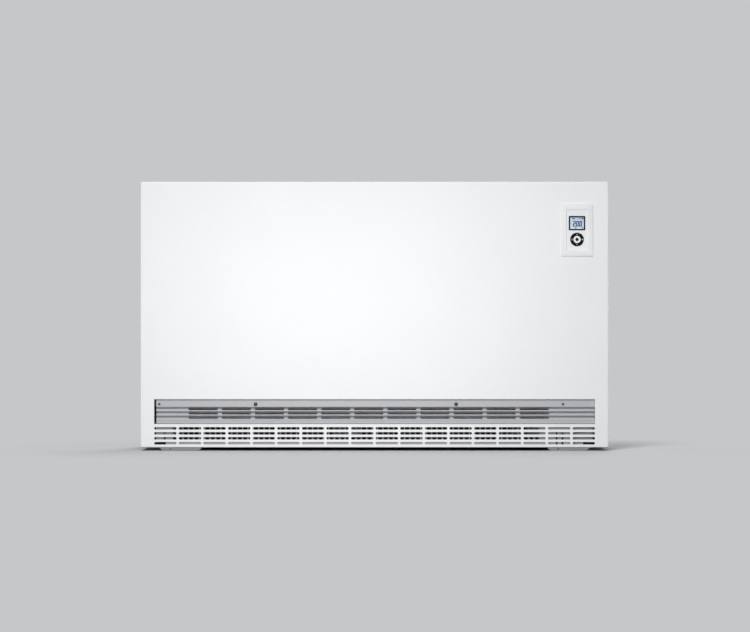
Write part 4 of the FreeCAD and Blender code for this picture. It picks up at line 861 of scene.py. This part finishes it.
@dataclass
class ControlUnit(SubAssembly):
    """Bezel, lit display and the ring of keys, with what the display and the keys show.

    Sizes are in millimetres and measured from the middle of the display or of the key ring.
    """

    title: str = "control unit"
    bezel_rounding_mm: float = 0.4
    frame_rounding_mm: float = 0.3
    key_rounding_mm: float = 0.3
    ink_depth: float = 0.06
    # The reading
    figure_width: float = 6.5
    figure_height: float = 13.2
    figure_pitch: float = 7.6
    figure_stroke: float = 2.3
    figure_slant: float = 0.09
    figure_across: float = 1.0
    figure_drop: float = 1.6
    point_size: float = 0.9
    point_corners: int = 8
    # The signs above and below the reading
    symbol_rise: float = 11.3
    level_across: tuple[float, ...] = (-10.6, -8.3, -6.0)
    level_width: float = 1.9
    level_height: float = 2.6
    tank_across: float = 7.4
    tank_width: float = 5.0
    tank_height: float = 3.2
    tank_rim: float = 0.8
    sun_across: float = 13.2
    sun_size: float = 4.2
    sun_corners: int = 12
    pointer_across: tuple[float, ...] = (-3.2, 12.6)
    pointer_drop: float = 10.9
    pointer_size: float = 5.2
    pointer_corners: int = 3
    # The marks on the keys
    key_mark_reach: float = 12.3
    key_mark_size: float = 4.4
    key_mark_stroke: float = 0.95
    key_dot_reach: float = 13.0
    key_dot_size: float = 3.6
    key_dot_corners: int = 24
    menu_pitch: float = 1.4
    # The lens in the centre key
    lens_radius: float = 4.0
    lens_rise: float = 0.26
    lens_segments: int = 32
    lens_rings: int = 16
    lens_crease_deg: float = 40.0
    # Found from the frame, in metres
    display_middle: Vector = field(init=False)
    ring_middle: Vector = field(init=False)

    def __post_init__(self) -> None:
        """Settles the finishes, roundings and middles."""
        keys = ("plus_key", "right_key", "minus_key", "left_key")
        self.finishes = {
            "control_bezel": WHITE_ABS,
            "display_frame": BLACK_GLOSS,
            "lcd_panel": lit_display(),
            **dict.fromkeys(keys, BLACK_GLOSS),
            "centre_key": WHITE_GLOSS,
            "control_board": GREEN_EPOXY,
            "control_cover": GREY_ABS,
        }
        self.roundings_mm = {
            "control_bezel": self.bezel_rounding_mm,
            "display_frame": self.frame_rounding_mm,
            **dict.fromkeys((*keys, "centre_key"), self.key_rounding_mm),
        }
        self.display_middle = front_middle("lcd_panel")
        self.ring_middle = front_middle("centre_key")
        self.ring_middle.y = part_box("plus_key")[0].y

    def build(self) -> None:
        """Makes the rounded pieces, the display's figures and signs, the key marks and the lens."""
        super().build()
        self.place(self.make_figures(), CRYSTAL_DARK, "lcd_panel", CASING_BODY)
        self.place(self.make_symbols(), CRYSTAL_DARK, "lcd_panel", CASING_BODY)
        self.place(self.make_plus(), GREY_INK, "plus_key", "plus_button")
        self.place(self.make_minus(), GREY_INK, "minus_key", "minus_button")
        self.place(self.make_dot(), WHITE_INK, "right_key", "right_button")
        self.place(self.make_menu(), GREY_INK, "left_key", "left_button")
        self.place(self.make_lens(), SMOKED_LENS, "centre_key", "centre_button")

    def place(self, piece: bpy.types.Object, finish: Finish, slot: str, body: str) -> None:
        """Paints a finished piece and lets it ride on its body.

        Args:
            piece: The piece.
            finish: Its finish.
            slot: The record's slot that it belongs to.
            body: The CAD body that carries it.
        """
        self.paint(piece, finish, slot)
        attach(piece, body)

    def on_display(self, across: float, up: float) -> Matrix:
        """The place on the display's face that lies so far from its middle, in millimetres."""
        return Matrix.Translation(self.display_middle + Vector((across, 0, up)) * MM)

    def on_key(self, across: float, up: float) -> Matrix:
        """The place on the keys' front that lies so far from the ring's middle, in millimetres."""
        return Matrix.Translation(self.ring_middle + Vector((across, 0, up)) * MM)

    def make_two(self) -> bpy.types.Object:
        """Models the figure 2: a square drawn out from corner to corner.

        Returns:
            The figure about the origin.
        """
        stroke = self.figure_stroke * MM
        right = (self.figure_width * MM - stroke) / 2
        top = (self.figure_height * MM - stroke) / 2
        stops = [(-right, top), (right, top), (right, 0), (-right, 0), (-right, -top), (right, -top)]
        path = [Vector((x, 0, z)) for x, z in stops]
        figure = facing_front(RECTANGLE, stroke, stroke)
        bpy.ops.transform.translate(value=path[0])
        for start, stop in zip(path, path[1:]):
            way = stop - start
            draw_out(figure, start, way, (stroke, way.length - stroke, stroke))
        thicken(self.ink_depth * MM)
        return settle(figure, "figure_two")

    def make_zero(self) -> bpy.types.Object:
        """Models the figure 0: a rectangle with its middle taken out.

        Returns:
            The figure about the origin.
        """
        figure = facing_front(RECTANGLE, self.figure_width * MM, self.figure_height * MM)
        hollow(self.figure_stroke * MM)
        thicken(self.ink_depth * MM)
        return settle(figure, "figure_zero")

    def make_figures(self) -> bpy.types.Object:
        """Models the reading, a temperature in slanted figures with a point.

        Returns:
            The figures as one piece.
        """
        step = Vector((self.figure_pitch * MM, 0, 0))
        two, zero = self.make_two(), self.make_zero()
        two.data.transform(Matrix.Translation(-step))
        last = copy_of(zero, "figure_last")
        last.data.transform(Matrix.Translation(step))
        point = facing_front(self.point_corners, self.point_size * MM, self.point_size * MM)
        thicken(self.ink_depth * MM)
        low = (self.point_size - self.figure_height) / 2 * MM
        point.location = step / 2 + Vector((0, 0, low))
        settle(point, "figure_point")
        figures = join("display_figures", [two, zero, last, point])
        # A shear, in which X grows with Z
        slant = Matrix.Identity(4)
        slant[0][2] = self.figure_slant
        figures.data.transform(self.on_display(self.figure_across, -self.figure_drop) @ slant)
        return figures

    def make_symbols(self) -> bpy.types.Object:
        """Models the small signs: level bars, a tank, a sun and two pointers.

        Returns:
            The signs as one piece.
        """
        rise, drop = self.symbol_rise, -self.pointer_drop
        bar = facing_front(RECTANGLE, self.level_width * MM, self.level_height * MM)
        places = [self.on_display(across, rise) for across in self.level_across]
        self.finish_mark(bar, "level_bars", *places)
        tank = facing_front(RECTANGLE, self.tank_width * MM, self.tank_height * MM)
        hollow(self.tank_rim * MM)
        self.finish_mark(tank, "tank", self.on_display(self.tank_across, rise))
        sun = facing_front(self.sun_corners, self.sun_size * MM, self.sun_size * MM)
        self.finish_mark(sun, "sun", self.on_display(self.sun_across, rise))
        pointer = facing_front(self.pointer_corners, self.pointer_size * MM, self.pointer_size * MM)
        places = [self.on_display(across, drop) for across in self.pointer_across]
        self.finish_mark(pointer, "pointers", *places)
        return join("display_signs", [bar, tank, sun, pointer])

    def finish_mark(self, mark: bpy.types.Object, name: str, *places: Matrix) -> bpy.types.Object:
        """Thickens a flat mark and puts it in its place, and a copy in each further place.

        Args:
            mark: The mark in edit mode.
            name: Its name.
            *places: Where its middle goes.

        Returns:
            The mark, which its copies are joined to.
        """
        thicken(self.ink_depth * MM)
        settle(mark, name)
        marks = [mark, *(copy_of(mark, name) for _ in places[1:])]
        for piece, place in zip(marks, places):
            piece.data.transform(place)
        return join(name, marks)

    def make_plus(self) -> bpy.types.Object:
        """Models the plus sign: a small square whose four sides are drawn out.

        Returns:
            The sign on the upper key.
        """
        stroke = self.key_mark_stroke * MM
        arm = (self.key_mark_size - self.key_mark_stroke) / 2 * MM
        mark = facing_front(RECTANGLE, stroke, stroke)
        for x, z in ((1, 0), (-1, 0), (0, 1), (0, -1)):
            draw_out(mark, Vector(), Vector((x, 0, z)), (stroke, arm))
        return self.finish_mark(mark, "plus_mark", self.on_key(0, self.key_mark_reach))

    def make_minus(self) -> bpy.types.Object:
        """Models the minus sign.

        Returns:
            The sign on the lower key.
        """
        mark = facing_front(RECTANGLE, self.key_mark_size * MM, self.key_mark_stroke * MM)
        return self.finish_mark(mark, "minus_mark", self.on_key(0, -self.key_mark_reach))

    def make_dot(self) -> bpy.types.Object:
        """Models the round mark.

        Returns:
            The mark on the right key.
        """
        mark = facing_front(self.key_dot_corners, self.key_dot_size * MM, self.key_dot_size * MM)
        return self.finish_mark(mark, "dot_mark", self.on_key(self.key_dot_reach, 0))

    def make_menu(self) -> bpy.types.Object:
        """Models three short lines, one above the other.

        Returns:
            The lines on the left key as one piece.
        """
        line = facing_front(RECTANGLE, self.key_dot_size * MM, self.key_mark_stroke * MM)
        rows = [self.on_key(-self.key_mark_reach, row * self.menu_pitch) for row in (-1, 0, 1)]
        return self.finish_mark(line, "menu_mark", *rows)

    def make_lens(self) -> bpy.types.Object:
        """Models the lens in the centre key: the front cap of a flattened ball.

        Returns:
            The lens, seated in the key's dish.
        """
        clear_selection()
        bpy.ops.mesh.primitive_uv_sphere_add(
            segments=self.lens_segments, ring_count=self.lens_rings, radius=self.lens_radius * MM
        )
        lens = bpy.context.active_object
        to_mode("EDIT")
        bpy.ops.mesh.select_all(action="SELECT")
        bpy.ops.mesh.bisect(plane_co=(0, 0, 0), plane_no=(0, 1, 0), use_fill=True, clear_outer=True)
        bpy.ops.mesh.select_all(action="SELECT")
        flatness = self.lens_rise / self.lens_radius
        bpy.ops.transform.resize(value=(1, flatness, 1), center_override=(0, 0, 0))
        bpy.ops.mesh.normals_make_consistent(inside=False)
        lens.matrix_world = self.on_key(0, 0)
        settle(lens, "centre_lens")
        bpy.ops.object.shade_smooth_by_angle(angle=math.radians(self.lens_crease_deg))
        return lens


# Studio
@dataclass(frozen=True)
class Lamp:
    """A soft lamp.

    Attributes:
        name: What it is called.
        place: Where it hangs, in metres.
        size: Width and height of its face, in metres.
        power: Its power in watts.
    """

    name: str
    place: tuple[float, float, float]
    size: tuple[float, float]
    power: float

    def hang(self, target: Vector) -> None:
        """Makes the lamp and turns it to a point.

        Args:
            target: The point, in metres.
        """
        clear_selection()
        bpy.ops.object.light_add(type="AREA", location=self.place)
        lamp = bpy.context.active_object
        lamp.name = self.name
        lamp.data.shape = "RECTANGLE"
        lamp.data.size, lamp.data.size_y = self.size
        lamp.data.energy = self.power
        lamp.rotation_euler = (target - Vector(self.place)).to_track_quat("-Z", "Y").to_euler()


LAMPS = (
    # High in front on the left: the main light
    Lamp("key_lamp", place=(-1.6, -5.0, 5.0), size=(1.8, 1.4), power=257.0),
    # Close in front: the soft pool in the middle of the front panel
    Lamp("front_lamp", place=(-0.1, -1.4, 0.33), size=(0.9, 0.5), power=7.2),
    # Behind: the back panel
    Lamp("back_lamp", place=(0.9, 2.8, 1.8), size=(2.0, 1.6), power=60.0),
    # Low at both ends: the side panels, with little light on the top
    Lamp("left_lamp", place=(-3.2, 0.9, 0.35), size=(1.6, 0.5), power=25.0),
    Lamp("right_lamp", place=(3.2, 0.9, 0.35), size=(1.6, 0.5), power=25.0),
)


@dataclass
class Studio:
    """Pale floor, soft lamps and the camera of a straight front view.

    Attributes:
        picture_width_m: Width that the picture takes in at the heater's front.
        camera_distance_m: From the camera to the front.
        camera_height_m: Height of the camera over the floor.
        camera_across_m: How far right of the middle the camera stands.
        floor_size_m: Length of the floor's sides, and how far the camera sees.
        floor_near_m: From the heater to where the floor starts to fade into the background.
        floor_far_m: From the heater to where it has faded.
        background: Colour that the camera and reflections see.
        floor_underneath: Colour of the floor for the light that it throws back.
        ambient: Strength of the even light from all sides.
    """

    picture_width_m: float = 1.8117
    camera_distance_m: float = 7.0
    camera_height_m: float = 0.3257
    camera_across_m: float = 0.0011
    floor_size_m: float = 60.0
    floor_near_m: float = 0.04
    floor_far_m: float = 0.4
    background: str = "#C6C7C9"
    floor_underneath: str = "#6A6A6A"
    ambient: float = 0.28

    def build(self) -> None:
        """Makes the world, the floor, the lamps and the camera."""
        self.make_world()
        self.make_floor()
        for lamp in LAMPS:
            lamp.hang(Vector((0, 0, self.camera_height_m)))
        self.make_camera()

    def seen_directly(self, tree: bpy.types.NodeTree) -> bpy.types.NodeSocket:
        """Adds the test for rays that show the background.

        Args:
            tree: The node tree that takes it.

        Returns:
            1 for camera, glossy and transmitted rays.
        """
        path = add_node(tree, "ShaderNodeLightPath")
        seen = path.outputs["Is Camera Ray"]
        for name in ("Is Glossy Ray", "Is Transmission Ray"):
            pair = {0: seen, 1: path.outputs[name]}
            seen = add_node(tree, "ShaderNodeMath", pair, operation="MAXIMUM").outputs["Value"]
        return seen

    def make_world(self) -> None:
        """Lights the scene evenly and shows a pale background."""
        world = bpy.data.worlds.new("studio_air")
        bpy.context.scene.world = world
        world.use_nodes = True
        tree = world.node_tree
        tree.nodes.clear()
        even = {"Color": linear("#FFFFFF"), "Strength": self.ambient}
        light = add_node(tree, "ShaderNodeBackground", even)
        shown = add_node(tree, "ShaderNodeBackground", {"Color": linear(self.background)})
        pair = {0: self.seen_directly(tree), 1: light.outputs[0], 2: shown.outputs[0]}
        mixed = add_node(tree, "ShaderNodeMixShader", pair)
        add_node(tree, "ShaderNodeOutputWorld", {"Surface": mixed.outputs[0]})

    def faded(self, tree: bpy.types.NodeTree) -> bpy.types.NodeSocket:
        """Adds how far the floor has faded at a point, by its distance from the heater's outline.

        Args:
            tree: The floor's node tree.

        Returns:
            0 near the heater and 1 far from it.
        """
        place = add_node(tree, "ShaderNodeTexCoord").outputs["Object"]
        half = ((CAD_BOX[1] - CAD_BOX[0]) / 2).to_tuple()
        side = add_node(tree, "ShaderNodeVectorMath", {0: place}, operation="ABSOLUTE")
        past = add_node(tree, "ShaderNodeVectorMath", {0: side.outputs[0], 1: half}, operation="SUBTRACT")
        ends = {0: past.outputs[0], 1: (0, 0, 0)}
        away = add_node(tree, "ShaderNodeVectorMath", ends, operation="MAXIMUM")
        length = add_node(tree, "ShaderNodeVectorMath", {0: away.outputs[0]}, operation="LENGTH")
        reach = length.outputs["Value"]
        fade = {"Value": reach, "From Min": self.floor_near_m, "From Max": self.floor_far_m}
        return add_node(tree, "ShaderNodeMapRange", fade).outputs["Result"]

    def make_floor(self) -> None:
        """Lays a pale floor that takes the shadow near the heater and fades into the background."""
        clear_selection()
        bpy.ops.mesh.primitive_plane_add(size=self.floor_size_m)
        floor = bpy.context.active_object
        floor.name = "studio_floor"
        surface = bpy.data.materials.new("pale_painted_floor")
        surface.use_nodes = True
        tree = surface.node_tree
        tree.nodes.clear()
        seen = self.seen_directly(tree)
        pair = {0: self.faded(tree), 1: seen}
        share = add_node(tree, "ShaderNodeMath", pair, operation="MULTIPLY").outputs["Value"]
        pale = linear(self.background)
        tones = {MIX_SHARE: seen, MIX_FIRST: linear(self.floor_underneath), MIX_SECOND: pale}
        colour = add_node(tree, "ShaderNodeMix", tones, data_type="RGBA").outputs[MIX_RESULT]
        paint = add_node(tree, "ShaderNodeBsdfDiffuse", {"Color": colour}).outputs[0]
        shown = add_node(tree, "ShaderNodeEmission", {"Color": pale}).outputs[0]
        mixed = add_node(tree, "ShaderNodeMixShader", {0: share, 1: paint, 2: shown})
        add_node(tree, "ShaderNodeOutputMaterial", {"Surface": mixed.outputs[0]})
        floor.data.materials.append(surface)

    def make_camera(self) -> None:
        """Sets up the camera straight in front."""
        front_y = CAD_BOX[0].y
        clear_selection()
        bpy.ops.object.camera_add(
            location=(self.camera_across_m, front_y - self.camera_distance_m, self.camera_height_m),
            rotation=QUARTER_TURN,
        )
        camera = bpy.context.active_object
        camera.data.lens = camera.data.sensor_width * self.camera_distance_m / self.picture_width_m
        camera.data.clip_end = self.floor_size_m
        bpy.context.scene.camera = camera


def main() -> None:
    """Builds and dresses every sub-assembly, then sets up the studio."""
    logging.basicConfig(level=logging.INFO, format="%(message)s")
    assemblies: tuple[SubAssembly, ...] = (
        Casing(), AirOutlet(), StorageCore(), AirPath(), WiringSpace(), ControlUnit()
    )
    for assembly in assemblies:
        assembly.dress()
        assembly.build()
    Studio().build()
    bpy.context.scene.view_settings.view_transform = "Standard"


if __name__ == "__main__":
    main()
